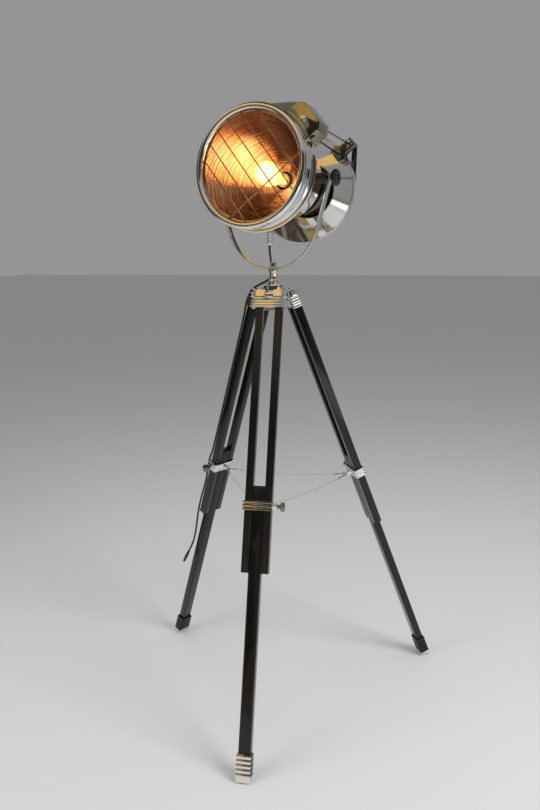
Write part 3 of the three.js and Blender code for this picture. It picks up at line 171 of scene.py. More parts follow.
class Graph:
    """A material's nodes, made by name."""

    def __init__(self, name):
        self.material = bpy.data.materials.new(name)
        self.material.use_nodes = True
        self.tree = self.material.node_tree
        self.shader = self.tree.nodes["Principled BSDF"]
        self.coords = self.tree.nodes.new("ShaderNodeTexCoord")

    def add(self, kind, **values):
        node = self.tree.nodes.new(kind)
        for key, value in values.items():
            setattr(node, key, value)
        return node

    def link(self, a, b):
        self.tree.links.new(a, b)

    def stretched(self, scale):
        """Object coordinates, scaled by axis."""
        mapping = self.add("ShaderNodeMapping")
        mapping.inputs["Scale"].default_value = scale
        self.link(self.coords.outputs["Object"], mapping.inputs["Vector"])
        return mapping.outputs["Vector"]

    def noise(self, scale, detail=3.0, vector=None, roughness=0.55):
        node = self.add("ShaderNodeTexNoise")
        node.inputs["Scale"].default_value = scale
        node.inputs["Detail"].default_value = detail
        node.inputs["Roughness"].default_value = roughness
        self.link(vector or self.coords.outputs["Object"], node.inputs["Vector"])
        return node.outputs["Fac"]

    def span(self, factor, low, high, start=0.3, end=0.7):
        """The middle of a noise's range, spread from low to high."""
        node = self.add("ShaderNodeMapRange")
        node.inputs["From Min"].default_value = start
        node.inputs["From Max"].default_value = end
        node.inputs["To Min"].default_value = low
        node.inputs["To Max"].default_value = high
        self.link(factor, node.inputs["Value"])
        return node.outputs["Result"]

    def ramp(self, factor, stops):
        node = self.add("ShaderNodeValToRGB")
        ramp = node.color_ramp
        while len(ramp.elements) < len(stops):
            ramp.elements.new(0.5)
        for element, (place, colour) in zip(ramp.elements, stops):
            element.position = place
            element.color = (*colour, 1)
        self.link(factor, node.inputs["Fac"])
        return node.outputs["Color"]

    def tone(self, factor, stops, socket="Base Color"):
        """The colour by a factor."""
        self.link(self.ramp(factor, stops), self.shader.inputs[socket])

    def gloss(self, factor, low, high):
        """The roughness by a factor."""
        self.link(self.span(factor, low, high), self.shader.inputs["Roughness"])

    def bump(self, height, distance, strength):
        node = self.add("ShaderNodeBump")
        node.inputs["Distance"].default_value = distance
        node.inputs["Strength"].default_value = strength
        self.link(height, node.inputs["Height"])
        self.link(node.outputs["Normal"], self.shader.inputs["Normal"])

    def set(self, **values):
        for key, value in values.items():
            self.shader.inputs[key.replace("_", " ")].default_value = value


def chrome(name, light, dark, rough, smear=0.05):
    """Polished plate: faint uneven tone, wiping smears in the gloss, slight waviness of the metal."""
    g = Graph(name)
    g.set(Metallic=1.0)
    g.tone(g.noise(9.0, 4.0), [(0.35, dark), (0.65, light)])
    g.gloss(g.noise(60.0, 5.0), rough, rough + smear)
    g.bump(g.noise(14.0, 2.0), 0.00012, 0.5)
    return g.material


def lacquered_wood(name):
    """Black gloss lacquer with a faint open grain along the leg and small dull marks."""
    g = Graph(name)
    grain = g.noise(1.0, 6.0, g.stretched((260, 260, 9)), 0.65)
    g.tone(grain, [(0.3, (0.0035, 0.0035, 0.0038)), (0.75, (0.009, 0.009, 0.0095))])
    g.gloss(g.noise(25.0, 5.0), 0.14, 0.22)
    g.set(Specular_IOR_Level=0.38, Coat_Weight=0.12, Coat_Roughness=0.08)
    g.bump(grain, 0.00012, 0.2)
    return g.material


def black_plastic(name):
    """Moulded plastic with a fine speckle."""
    g = Graph(name)
    speck = g.noise(700.0, 2.0)
    g.tone(speck, [(0.3, (0.006, 0.006, 0.006)), (0.8, (0.016, 0.016, 0.016))])
    g.gloss(g.noise(40.0, 3.0), 0.35, 0.5)
    g.bump(speck, 0.00008, 0.35)
    return g.material


def spun_mirror(name):
    """The bowl: a warm mirror with fine rings left by spinning."""
    g = Graph(name)
    local = g.add("ShaderNodeMapping")
    to_head = HEAD.inverted()
    local.vector_type = "POINT"
    local.inputs["Location"].default_value = to_head.translation
    local.inputs["Rotation"].default_value = to_head.to_euler()
    g.link(g.coords.outputs["Object"], local.inputs["Vector"])
    flat = g.add("ShaderNodeVectorMath", operation="MULTIPLY")
    flat.inputs[1].default_value = (1, 0, 1)
    g.link(local.outputs["Vector"], flat.inputs[0])
    radius = g.add("ShaderNodeVectorMath", operation="LENGTH")
    g.link(flat.outputs["Vector"], radius.inputs[0])
    rings = g.add("ShaderNodeTexNoise", noise_dimensions="1D")
    rings.inputs["Scale"].default_value = 420
    rings.inputs["Detail"].default_value = 4
    g.link(radius.outputs["Value"], rings.inputs["W"])
    g.tone(g.noise(11.0), [(0.35, (0.72, 0.42, 0.26)), (0.65, (0.95, 0.72, 0.54))])
    g.set(Metallic=1.0)
    g.gloss(rings.outputs["Fac"], 0.05, 0.12)
    g.bump(rings.outputs["Fac"], 0.0022, 0.9)
    return g.material


def glowing_glass(name):
    """A lit bulb: thin glass, warm and bright at its middle and deeper at its rim."""
    g = Graph(name)
    g.set(Base_Color=(1.0, 0.82, 0.5, 1), Roughness=0.04, Transmission_Weight=0.35, IOR=1.45)
    rim = g.add("ShaderNodeLayerWeight")
    rim.inputs["Blend"].default_value = 0.35
    warmth = [(0.0, (1.0, 0.88, 0.62)), (0.4, (1.0, 0.55, 0.18)), (1.0, (0.7, 0.2, 0.03))]
    g.tone(rim.outputs["Facing"], warmth, "Emission Color")
    g.set(Emission_Strength=1.0)
    return g.material


def glow(name, colour, strength):
    """A white-hot wire, slightly uneven along its length."""
    g = Graph(name)
    g.set(Base_Color=(*colour, 1), Roughness=0.5, Emission_Strength=strength)
    brighter = tuple(min(1, c * 1.15) for c in colour)
    g.tone(g.noise(300.0), [(0.3, colour), (0.7, brighter)], "Emission Color")
    return g.material


def porcelain(name):
    """Glazed off-white porcelain."""
    g = Graph(name)
    g.tone(g.noise(30.0), [(0.3, (0.62, 0.59, 0.53)), (0.7, (0.72, 0.7, 0.65))])
    g.set(Roughness=0.22, Coat_Weight=0.4)
    return g.material


def cord_jacket(name):
    """The cord's black rubber jacket, dull and finely speckled."""
    g = Graph(name)
    fine = g.noise(900.0, 2.0)
    g.tone(fine, [(0.3, (0.007, 0.007, 0.008)), (0.8, (0.02, 0.02, 0.021))])
    g.gloss(g.noise(60.0), 0.4, 0.6)
    g.bump(fine, 0.0001, 0.4)
    return g.material


MATERIALS = {
    "polished_chrome": chrome("polished_chrome", (0.9, 0.895, 0.88), (0.84, 0.835, 0.82), 0.035),
    "copper_lit_chrome": chrome("copper_lit_chrome", (0.62, 0.38, 0.25), (0.4, 0.22, 0.14), 0.1, 0.06),
    "dusky_chrome": chrome("dusky_chrome", (0.4, 0.37, 0.27), (0.26, 0.235, 0.165), 0.05),
    # smoked_chrome is polished chrome with painted shade: its dark tone is a painted reflection of dark surroundings,
    # not a smoked finish
    "smoked_chrome": chrome("smoked_chrome", (0.3, 0.285, 0.265), (0.19, 0.18, 0.17), 0.08, 0.08),
    "chain_wire": chrome("chain_wire", (0.78, 0.78, 0.77), (0.62, 0.62, 0.61), 0.16, 0.1),
    "black_lacquered_wood": lacquered_wood("black_lacquered_wood"),
    "black_plastic": black_plastic("black_plastic"),
    "reflector_mirror": spun_mirror("reflector_mirror"),
    "bulb_glass": glowing_glass("bulb_glass"),
    "bulb_brass": chrome("bulb_brass", (0.72, 0.52, 0.24), (0.6, 0.42, 0.18), 0.22, 0.1),
    "filament": glow("filament", (1.0, 0.82, 0.55), 10.0),
    "porcelain": porcelain("porcelain"),
    "cord_jacket": cord_jacket("cord_jacket"),
}
for name, node in NODES.items():
    node.data.materials.clear()
    node.data.materials.append(MATERIALS[SLOT_OF[name]])


# ---- Mesh helpers ----


def finish_mesh(name, mesh, stands_for, smooth_angle=32, blended=False):
    """The piece that stands for a node: smooth with its sharp edges kept, in the node's slot and on its body.

    A blended piece is left without a body.
    """
    piece = bpy.data.objects.new(name, mesh)
    bpy.context.scene.collection.objects.link(piece)
    mesh.shade_smooth()
    mesh.set_sharp_from_angle(angle=math.radians(smooth_angle))
    slot = SLOT_OF[stands_for]
    mesh.materials.clear()
    mesh.materials.append(MATERIALS[slot])
    if not blended:
        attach(piece, BODY_OF[stands_for])
    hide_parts(stands_for)
    return piece


def to_mesh(name, bm, matrix=None):
    """The bmesh as a mesh in metres in the part's frame.

    With a matrix, the bmesh is in millimetres in the matrix's frame; without one it is there already.
    """
    bmesh.ops.recalc_face_normals(bm, faces=bm.faces)
    if matrix:
        bm.transform(matrix @ Matrix.Scale(MM, 4))
    mesh = bpy.data.meshes.new(name)
    bm.to_mesh(mesh)
    bm.free()
    return mesh


# Below NOTHING, a radius or a step is a point; AXES gives a lathe's place for a radius, a turn and a way along
NOTHING = 1e-6
AXES = {
    "Y": lambda radius, turn, along: (radius * math.cos(turn), along, radius * math.sin(turn)),
    "Z": lambda radius, turn, along: (radius * math.cos(turn), radius * math.sin(turn), along),
}


def lathe(bm, profile, axis="Y", facets=128, ripple=None):
    """A solid of revolution from (radius, place) pairs; ripple gives a share of the radius by angle."""
    place = AXES[axis]
    rings = []
    for radius, along in profile:
        if radius < NOTHING:
            rings.append([bm.verts.new(place(0, 0, along))])
            continue
        ring = []
        for i in range(facets):
            turn = 2 * math.pi * i / facets
            r = radius * (1 + (ripple(turn, radius, along) if ripple else 0))
            ring.append(bm.verts.new(place(r, turn, along)))
        rings.append(ring)
    pairs = list(zip(rings, rings[1:]))
    if len(rings[0]) > 1 and len(rings[-1]) > 1:
        pairs.append((rings[-1], rings[0]))
    for a, b in pairs:
        for i in range(facets):
            j = (i + 1) % facets
            if len(a) == 1 and len(b) == 1:
                continue
            if len(a) == 1:
                bm.faces.new((a[0], b[i], b[j]))
            elif len(b) == 1:
                bm.faces.new((a[i], b[0], a[j]))
            else:
                bm.faces.new((a[i], b[i], b[j], a[j]))


def rounded(profile, radius, steps=4):
    """The closed profile with arcs at the corners that have a third value, their share of the radius."""
    count = len(profile)
    out = []
    for i, corner in enumerate(profile):
        share = corner[2] if len(corner) > 2 else 0
        here = Vector(corner[:2])
        if not share:
            out.append(tuple(here))
            continue
        before = Vector(profile[i - 1][:2]) - here
        after = Vector(profile[(i + 1) % count][:2]) - here
        reach = min(radius * share, before.length / 2, after.length / 2)
        a, b = here + before.normalized() * reach, here + after.normalized() * reach
        for k in range(steps + 1):
            t = k / steps
            out.append(tuple(a * (1 - t) ** 2 + here * 2 * t * (1 - t) + b * t * t))
    return out


def tube(bm, points, radius, sides=12, closed_ends=True):
    """A round tube that follows the points, its section carried along without twist."""
    points = [Vector(p) for p in points]
    tangents = []
    for i in range(len(points)):
        a, b = points[max(i - 1, 0)], points[min(i + 1, len(points) - 1)]
        tangents.append((b - a).normalized())
    normal = tangents[0].orthogonal().normalized()
    rings = []
    for i, (point, tangent) in enumerate(zip(points, tangents)):
        if i:
            normal = tangents[i - 1].rotation_difference(tangent) @ normal
        side = tangent.cross(normal).normalized()
        rings.append([
            bm.verts.new(point + (normal * math.cos(t) + side * math.sin(t)) * radius)
            for t in (2 * math.pi * k / sides for k in range(sides))
        ])
    for a, b in zip(rings, rings[1:]):
        for k in range(sides):
            m = (k + 1) % sides
            bm.faces.new((a[k], a[m], b[m], b[k]))
    if closed_ends:
        bm.faces.new(rings[0])
        bm.faces.new(rings[-1])
    return rings


def curve_through(points, spacing):
    """Points at about the spacing on a centripetal spline through the given ones."""
    points = [Vector(p) for p in points]
    ends = [points[0] * 2 - points[1]] + points + [points[-1] * 2 - points[-2]]
    out = []
    for i in range(len(points) - 1):
        p0, p1, p2, p3 = ends[i:i + 4]
        knots = [0.0]
        for a, b in ((p0, p1), (p1, p2), (p2, p3)):
            knots.append(knots[-1] + max((b - a).length, NOTHING) ** 0.5)
        t0, t1, t2, t3 = knots
        steps = max(1, round((p2 - p1).length / spacing))
        for k in range(steps):
            t = t1 + (t2 - t1) * k / steps
            a1 = p0 * ((t1 - t) / (t1 - t0)) + p1 * ((t - t0) / (t1 - t0))
            a2 = p1 * ((t2 - t) / (t2 - t1)) + p2 * ((t - t1) / (t2 - t1))
            a3 = p2 * ((t3 - t) / (t3 - t2)) + p3 * ((t - t2) / (t3 - t2))
            b1 = a1 * ((t2 - t) / (t2 - t0)) + a2 * ((t - t0) / (t2 - t0))
            b2 = a2 * ((t3 - t) / (t3 - t1)) + a3 * ((t - t1) / (t3 - t1))
            out.append(b1 * ((t2 - t) / (t2 - t1)) + b2 * ((t - t1) / (t2 - t1)))
    out.append(points[-1])
    return out


# Vertices within WELD_M are one, faces within FLAT_ANGLE are one, and corners past EDGE_ANGLE are rounded
WELD_M = 2e-6
FLAT_ANGLE, EDGE_ANGLE = math.radians(1), math.radians(25)


def softened(node, width):
    """A solid with its flat facets joined and its edges rounded, as castings and planed wood have."""
    bm = bmesh.new()
    bm.from_mesh(NODES[node].data)
    bmesh.ops.remove_doubles(bm, verts=bm.verts, dist=WELD_M)
    bmesh.ops.dissolve_limit(bm, angle_limit=FLAT_ANGLE, verts=bm.verts, edges=bm.edges)
    mesh = bpy.data.meshes.new(node + "_soft")
    bm.to_mesh(mesh)
    bm.free()
    piece = bpy.data.objects.new(node + "_soft", mesh)
    bpy.context.scene.collection.objects.link(piece)
    bevel = piece.modifiers.new("edges", "BEVEL")
    bevel.width = width * MM
    bevel.segments = 2
    bevel.limit_method = "ANGLE"
    bevel.angle_limit = EDGE_ANGLE
    bevel.use_clamp_overlap = True
    evaluated = piece.evaluated_get(bpy.context.evaluated_depsgraph_get())
    final = bpy.data.meshes.new_from_object(evaluated)
    bpy.data.objects.remove(piece)
    bpy.data.meshes.remove(mesh)
    return finish_mesh(node + "_finished", final, node, 40)


def turned(node, profile, matrix=BARREL, facets=128, smooth_angle=32, ripple=None):
    """A node's piece turned round the frame's Y axis."""
    bm = bmesh.new()
    lathe(bm, profile, facets=facets, ripple=ripple)
    return finish_mesh(node + "_finished", to_mesh(node, bm, matrix), node, smooth_angle)


# ---- Cord: its points are the solids' own ----

CORD_RADIUS, CORD_LEAD, CORD_SOCKET = 2.8, 7, 14
CORD_SPACING_M, CORD_GAP_M = 0.003, 0.0002
YOKE_POINTS = [(-2, -14.5, 78), (-8, 0.5, 66.5), (-12.5, 11, 54), (-15.5, 16.5, 42), (-17, 18, 35)]
HUB_POINTS = [(-18.5, 19, 24), (-21, 19, 12), (-29, 15, 5.5)]
LEG_POINTS = [
    (19, 6, -15), (21, 20, -3), (20.5, 29, 14), (19.5, 33, 36), (15.4, 35, 66), (14.8, 35, 120), (14.8, 34.5, 200),
    (14.8, 35, 300), (14.8, 34.5, 400), (14.8, 35, 480), (16.4, 34.5, 515), (20.2, 34, 540), (20.4, 33, 560),
    (20.2, 33, 578), (16.4, 33.5, 605), (14.8, 35, 640), (14.6, 38, 690), (14.6, 36, 740), (15.5, 29, 790),
    (16, 25, 835), (16.5, 27, 868), (18, 33.5, 895),
]


def from_gland(z):
    """A point on the gland's line, at a height over the barrel's axis."""
    return BARREL @ (Vector((0, behind(GLAND_DEPTH), z)) * MM)


def from_hub(x, y, z):
    """A point from the middle of the hub's top."""
    return Vector((PIVOT.x, PIVOT.y, 0)) + Vector((x, y, HUB_TOP + z)) * MM


def from_leg(x, y, distance):
    """A point down the left leg from its hinge."""
    return leg_matrix("left") @ (Vector((x, y, -distance)) * MM)


CORD_POINTS = [from_gland(CORD_SOCKET - GLAND_REACH), from_gland(-GLAND_REACH), from_gland(-GLAND_REACH - CORD_LEAD)]
CORD_POINTS += [from_hub(*p) for p in YOKE_POINTS] + [from_hub(*p) for p in HUB_POINTS]
CORD_POINTS += [from_leg(*p) for p in LEG_POINTS]
YOKE_END = 2 + len(YOKE_POINTS)
HUB_END = YOKE_END + len(HUB_POINTS)


def spline_spans(points, spacing):
    """The spline of curve_through, span by span, each span with its two ends."""
    whole = curve_through(points, spacing)
    counts = [max(1, round((b - a).length / spacing)) for a, b in zip(points, points[1:])]
    spans, start = [], 0
    for count in counts:
        spans.append(whole[start:start + count + 1])
        start += count
    return spans


def make_cord():
    """Three stretches of one curve, each between its two bodies, and the plug on the last one's end."""
    spans = spline_spans(CORD_POINTS, CORD_SPACING_M)
    last_point = len(CORD_POINTS) - 1
    stretches = (
        ("cord_head", 0, YOKE_END, "object", "hanging", ("head", "yoke"), (2, YOKE_END - 2)),
        ("cord_post", YOKE_END, HUB_END, "object", "loose", ("yoke", "base"), (YOKE_END, HUB_END)),
        ("cord_leg", HUB_END, last_point, "plug", "hanging", ("base", "leg_left_upper"), (HUB_END, HUB_END + 4)),
    )
    plug = make_plug(spans[-1][-1], (spans[-1][-1] - spans[-1][-2]).normalized())
    for node, first, last, far_end, lay, bodies, bend in stretches:
        points = [spans[first][0]]
        for span in spans[first:last]:
            points += span[1:]
        if node != "cord_leg":
            points[-1] = points[-1] + (points[-2] - points[-1]).normalized() * CORD_GAP_M
        bm = bmesh.new()
        tube(bm, points, CORD_RADIUS * MM, 16)
        piece = finish_mesh(node + "_finished", to_mesh(node, bm), node, 60, blended=True)
        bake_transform(piece)


def make_plug(end, direction):
    """The slim connector at the cord's end: a ribbed sleeve, a round shell and a short tip."""
    bm = bmesh.new()
    sleeve = [(0, SEAT_GAP), (3.3, SEAT_GAP), (3.6, 3), (3.1, 4), (3.9, 5), (3.4, 6)]
    shell = [(4.5, 8, 1), (4.6, 30, 1), (3.9, 31), (4.0, 36, 1), (3.4, 41.5, 1), (0, 41.5)]
    lathe(bm, rounded(sleeve + shell, 1.2, 3), "Z", 32)
    matrix = Matrix.Translation(end) @ direction.to_track_quat("Z", "Y").to_matrix().to_4x4()
    return finish_mesh("cord_plug_finished", to_mesh("cord_plug", bm, matrix), "cord_plug", 35)


make_cord()

# ---- Head ----

crown_middle, crown_half = (BEZEL_OPENING + BEZEL_RADIUS) / 2, (BEZEL_RADIUS - BEZEL_OPENING) / 2
crown_turns = [math.pi * i / 24 for i in range(25)]
crown = [(crown_middle - crown_half * math.cos(t), behind(CROWN_DEPTH * (1 - math.sin(t)))) for t in crown_turns]
turned("bezel", crown + rounded([
    (BEZEL_RADIUS, behind(BEZEL_LENGTH - BEZEL_CHAMFER), 1),
    (BEZEL_RADIUS - BEZEL_CHAMFER, behind(BEZEL_LENGTH), 1),
    (DRUM_RADIUS + SEAT_GAP, behind(BEZEL_LENGTH)),
    (DRUM_RADIUS + SEAT_GAP, behind(BEZEL_LENGTH - BEZEL_WALL)),
    (BEZEL_RADIUS - BEZEL_WALL, behind(BEZEL_LENGTH - BEZEL_SEAM)),
    (BEZEL_RADIUS - BEZEL_WALL, behind(CROWN_DEPTH + 0.1)),
    (crown_middle, behind(CROWN_WALL)),
    (BEZEL_OPENING + BEZEL_WALL, behind(CROWN_DEPTH + 0.4)),
], 3.2, 5), smooth_angle=50)


def cone_line(offset, steps=44):
    """The housing behind its drum, narrowing to the neck."""
    points = []
    for i in range(steps + 1):
        share = i / steps
        depth = DRUM_LENGTH + (CONE_END - DRUM_LENGTH) * share
        points.append((
            CONE_NECK_RADIUS + (DRUM_RADIUS - CONE_NECK_RADIUS) * (1 - share ** CONE_POWER) + offset,
            behind(depth) + (CONE_SEAM if i == 0 else 0),
        ))
    return points


def lip_line():
    """The spun lip: a full round bead between the drum and the cone."""
    points = []
    for i in range(17):
        rise = math.sin(math.pi * i / 16) ** LIP_FULLNESS
        points.append((
            DRUM_RADIUS + (LIP_RADIUS - DRUM_RADIUS) * rise,
            behind(LIP_POSITION + LIP_HALF * (i / 8 - 1)),
        ))
    return points


def housing_profile():
    """The drum with its lip and the cone, and the same wall back inside."""
    outer = [(DRUM_RADIUS, behind(DRUM_FRONT))] + lip_line() + cone_line(0)
    inner = [(DRUM_RADIUS - DRUM_WALL, behind(DRUM_FRONT))] + cone_line(-DRUM_WALL)
    return outer + inner[::-1]


turned("housing", housing_profile(), facets=168)

neck_start, neck_end = CONE_END + SEAT_GAP, DISC_FACE - SEAT_GAP
spigot_radius, spigot_end = CONE_NECK_RADIUS - NECK_SPIGOT_STEP, neck_start - NECK_SPIGOT
turned("rear_neck", rounded([
    (NECK_BORE, behind(spigot_end)),
    (spigot_radius, behind(spigot_end)),
    (spigot_radius, behind(neck_start)),
    (NECK_FLANGE, behind(neck_start), 1),
    (NECK_FLANGE, behind(neck_start + NECK_FLANGE_WIDTH), 1),
    (NECK_RADIUS, behind(neck_start + NECK_FLANGE_WIDTH), 0.4),
    (NECK_RADIUS, behind(neck_end)),
    (NECK_RADIUS - NECK_WALL, behind(neck_end)),
    (NECK_RADIUS - NECK_WALL, behind(neck_start + NECK_WALL)),
    (NECK_BORE, behind(neck_start + NECK_WALL)),
], 2, 6), smooth_angle=40)

rim_inside, rim_back = DISC_RADIUS - DISC_WALL, DISC_FRONT + DISC_RIM
turned("rear_disc", rounded([
    (0, behind(DISC_FACE)),
    (rim_inside, behind(DISC_FACE), 1),
    (rim_inside, behind(DISC_FRONT), 1),
    (DISC_RADIUS, behind(DISC_FRONT), 1),
    (DISC_RADIUS, behind(rim_back), 1),
    (rim_inside, behind(rim_back), 1),
    (rim_inside, behind(DISC_FACE + DISC_PLATE), 1),
    (0, behind(DISC_FACE + DISC_PLATE)),
], 1.5, 5), FITTINGS, facets=168, smooth_angle=50)


def reflector_profile(steps=40):
    """A parabolic bowl with a hole for the holder and a flange that seats in the drum."""
    least = REFLECTOR_HOLE / REFLECTOR_RADIUS
    inner, outer = [], []
    for i in range(steps + 1):
        share = 1 - (1 - least) * i / steps
        place = REFLECTOR_FRONT + (REFLECTOR_VERTEX - REFLECTOR_FRONT) * (1 - share * share)
        inner.append((REFLECTOR_RADIUS * share, behind(place)))
        if i:
            outer.append((REFLECTOR_RADIUS * share + REFLECTOR_WALL, behind(place + REFLECTOR_WALL)))
    rim = DRUM_RADIUS - DRUM_WALL - SEAT_GAP
    flange_back = behind(REFLECTOR_FRONT + REFLECTOR_FLANGE)
    flange = [
        (REFLECTOR_RADIUS + 2 * REFLECTOR_WALL, flange_back), (rim, flange_back), (rim, behind(REFLECTOR_FRONT)),
    ]
    return inner + outer[::-1] + flange


turned("reflector", reflector_profile(), facets=160, smooth_angle=45)

turned("lamp_holder", rounded([
    (0, behind(HOLDER_FLOOR)), (HOLDER_BORE, behind(HOLDER_FLOOR)), (HOLDER_BORE, behind(HOLDER_FRONT)),
    (HOLDER_RADIUS, behind(HOLDER_FRONT), 1), (HOLDER_RADIUS, behind(HOLDER_SHOULDER), 1),
    (HOLDER_STEM, behind(HOLDER_BACK), 1), (HOLDER_STEM, behind(STEM_END)), (0, behind(STEM_END)),
], 2, 4), facets=64)


def cap_profile(steps=40):
    """A screw cap: the thread rises and falls along the shell, then the contact."""
    profile = [(0, behind(CAP_FRONT)), (CAP_MOUTH, behind(CAP_FRONT))]
    for i in range(steps + 1):
        share = i / steps
        radius = CAP_RADIUS + CAP_THREAD * math.sin(2 * math.pi * CAP_TURNS * share)
        profile.append((radius, behind(CAP_FRONT + 1 + CAP_SHELL * share)))
    return profile + [(CAP_CONTACT, behind(CAP_FRONT + CAP_LENGTH)), (0, behind(CAP_FRONT + CAP_LENGTH))]


turned("bulb_cap", cap_profile(), facets=64)


def bulb_profile(steps=24):
    """A round tip, then a waist that narrows to the cap; the wall goes back inside."""
    taper = GLASS_LENGTH * GLASS_TAPER_SHARE
    tip_length, tip = GLASS_LENGTH - taper, GLASS_FOOT - GLASS_LENGTH
    outer, inner = [], []
    for i in range(steps + 1):
        turn = math.pi / 2 * i / steps
        outer.append((GLASS_RADIUS * math.sin(turn), behind(tip + tip_length * (1 - math.cos(turn)))))
        inner.append((
            (GLASS_RADIUS - GLASS_WALL) * math.sin(turn),
            behind(tip + tip_length - (tip_length - GLASS_WALL) * math.cos(turn)),
        ))
    for i in range(1, steps + 1):
        waist = (1 + math.cos(math.pi * i / steps)) / 2
        radius, place = GLASS_NECK + (GLASS_RADIUS - GLASS_NECK) * waist, behind(GLASS_FOOT - taper * (1 - i / steps))
        outer.append((radius, place))
        inner.append((radius - GLASS_WALL, place))
    return outer + inner[::-1]


turned("bulb_glass", bulb_profile(), facets=64, smooth_angle=60)


def make_filament():
    """A squirrel-cage filament: one wire up and down round the bulb's axis."""
    near, far = (behind(GLASS_FOOT - GLASS_LENGTH * share) for share in (FILAMENT_NEAR_SHARE, FILAMENT_FAR_SHARE))
    foot = behind(GLASS_FOOT - SEAT_GAP)
    points = [(-FILAMENT_FOOT, foot, 0)]
    for i in range(FILAMENT_POSTS):
        turn = math.pi + 2 * math.pi * (i + 0.5) / FILAMENT_POSTS
        x, z = FILAMENT_RADIUS * math.cos(turn), FILAMENT_RADIUS * math.sin(turn)
        points += [(x, end, z) for end in ((near, far) if i % 2 == 0 else (far, near))]
    points.append((FILAMENT_FOOT, foot, 0))
    bm = bmesh.new()
    tube(bm, curve_through(points, 2.5), FILAMENT_WIRE, 8)
    finish_mesh("filament_finished", to_mesh("filament", bm, BARREL), "filament", 60)


make_filament()


def make_grille():
    """Six bars and a cross bar whose ends are fused into the ring by a bead of solder."""
    outer = DRUM_RADIUS - DRUM_WALL - SEAT_GAP
    depth = behind(DRUM_FRONT + GRILLE_HALF)
    bm = bmesh.new()
    lathe(bm, rounded([
        (outer - GRILLE_RING, depth - GRILLE_HALF, 1), (outer, depth - GRILLE_HALF),
        (outer, depth + GRILLE_HALF), (outer - GRILLE_RING, depth + GRILLE_HALF, 1),
    ], 1.2, 4))
    middle = outer - GRILLE_RING / 2

    def bar(a, b):
        tube(bm, [Vector(a).lerp(Vector(b), i / 24) for i in range(25)], GRILLE_WIRE)
        for end in (a, b):
            bead = bmesh.ops.create_uvsphere(bm, u_segments=14, v_segments=9, radius=GRILLE_BEAD)
            bmesh.ops.scale(bm, verts=bead["verts"], vec=(1, BEAD_FLATNESS, 1))
            place = Vector((end[0] * BEAD_PLACE_SHARE, end[1], end[2] * BEAD_PLACE_SHARE))
            bmesh.ops.translate(bm, verts=bead["verts"], vec=place)

    for row in GRILLE_ROWS:
        offset = row * GRILLE_PITCH
        half = math.sqrt(middle ** 2 - offset ** 2)
        bar((-half, depth, offset), (half, depth, offset))
    half = math.sqrt(middle ** 2 - GRILLE_CROSS_OFFSET ** 2)
    cross_depth = depth + GRILLE_CROSS_STEP
    bar((GRILLE_CROSS_OFFSET, cross_depth, -half), (GRILLE_CROSS_OFFSET, cross_depth, half))
    grille = finish_mesh("grille_finished", to_mesh("grille", bm, FITTINGS), "grille", 50)
    grille.data.materials[0] = MATERIALS["copper_lit_chrome"]


make_grille()


def gland_profile():
    """A ribbed sleeve with a bore for the cord at its end."""
    top, pitch = GLAND_REACH - GLAND_LENGTH, GLAND_LENGTH / (2 * GLAND_RIBS + 1)
    profile = [(0, GLAND_ROOT), (GLAND_RADIUS, GLAND_ROOT)]
    for i in range(GLAND_RIBS):
        start = top + pitch * 2 * i
        profile += [(GLAND_RADIUS, start + pitch, 1), (GLAND_GROOVE, start + pitch * (1 + GLAND_RIB_SLOPE), 1)]
        profile += [(GLAND_GROOVE, start + pitch * (2 - GLAND_RIB_SLOPE), 1), (GLAND_RADIUS, start + 2 * pitch, 1)]
    bore_end = GLAND_REACH - GLAND_BORE_DEPTH
    profile += [(GLAND_GROOVE, GLAND_REACH, 1), (GLAND_BORE, GLAND_REACH), (GLAND_BORE, bore_end), (0, bore_end)]
    return rounded(profile, 1.2, 3)


GLAND = BARREL @ Matrix.Translation((0, behind(GLAND_DEPTH) * MM, 0)) @ Matrix.Rotation(-math.pi / 2, 4, "X")
turned("cable_gland", gland_profile(), GLAND, facets=48)

# ---- Tilt spacers and knobs ----

yoke_low, yoke_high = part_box("yoke")
slant = math.tan(YOKE_FLARE)
arm_half = YOKE_THICKNESS / 2 / math.cos(YOKE_FLARE)
yoke_half_span = (yoke_high.x - yoke_low.x) / 2 / MM - YOKE_TOP * slant - arm_half
arm_inner, arm_outer = yoke_half_span - arm_half, yoke_half_span + arm_half


def fluted(turn, radius, along):
    """Shallow finger grooves in the knob's rim."""
    if radius <= KNOB_FLUTED_RADIUS:
        return 0
    return KNOB_FLUTE_SHARE * (math.cos(KNOB_FLUTES * turn) - 1) / 2


for side, sign in (("right", 1), ("left", -1)):
    toward = HEAD @ Matrix.Rotation(-sign * math.pi / 2, 4, "Z")
    spacer_end = arm_inner - SPACER_RADIUS * slant - SEAT_GAP
    seat = arm_outer + KNOB_RADIUS * slant + SEAT_GAP
    back, stud = seat + KNOB_LENGTH, seat + STUD_REACH
    edge = KNOB_RADIUS - KNOB_CHAMFER
    turned(f"tilt_spacer_{side}", rounded([
        (0, SPACER_START), (SPACER_RADIUS, SPACER_START), (SPACER_RADIUS, spacer_end, 1),
        (STUD_RADIUS, spacer_end), (STUD_RADIUS, stud), (0, stud),
    ], 1, 3), toward, facets=64)
    turned(f"tilt_knob_{side}", rounded([
        (0, stud + SEAT_GAP), (KNOB_BORE, stud + SEAT_GAP), (KNOB_BORE, seat), (edge, seat),
        (KNOB_RADIUS, seat + KNOB_CHAMFER, 1), (KNOB_RADIUS, back - KNOB_CHAMFER, 1), (edge, back, 1),
        (KNOB_HOLLOW, back, 1), (KNOB_HOLLOW, back - KNOB_HOLLOW_DEPTH), (KNOB_BOSS, back - KNOB_HOLLOW_DEPTH),
        (KNOB_BOSS, back - KNOB_BOSS_DEPTH), (0, back - KNOB_BOSS_DEPTH),
    ], 2.5, 4), toward, facets=144, ripple=fluted)

# ---- Everything else keeps its solid's outline with its edges rounded ----

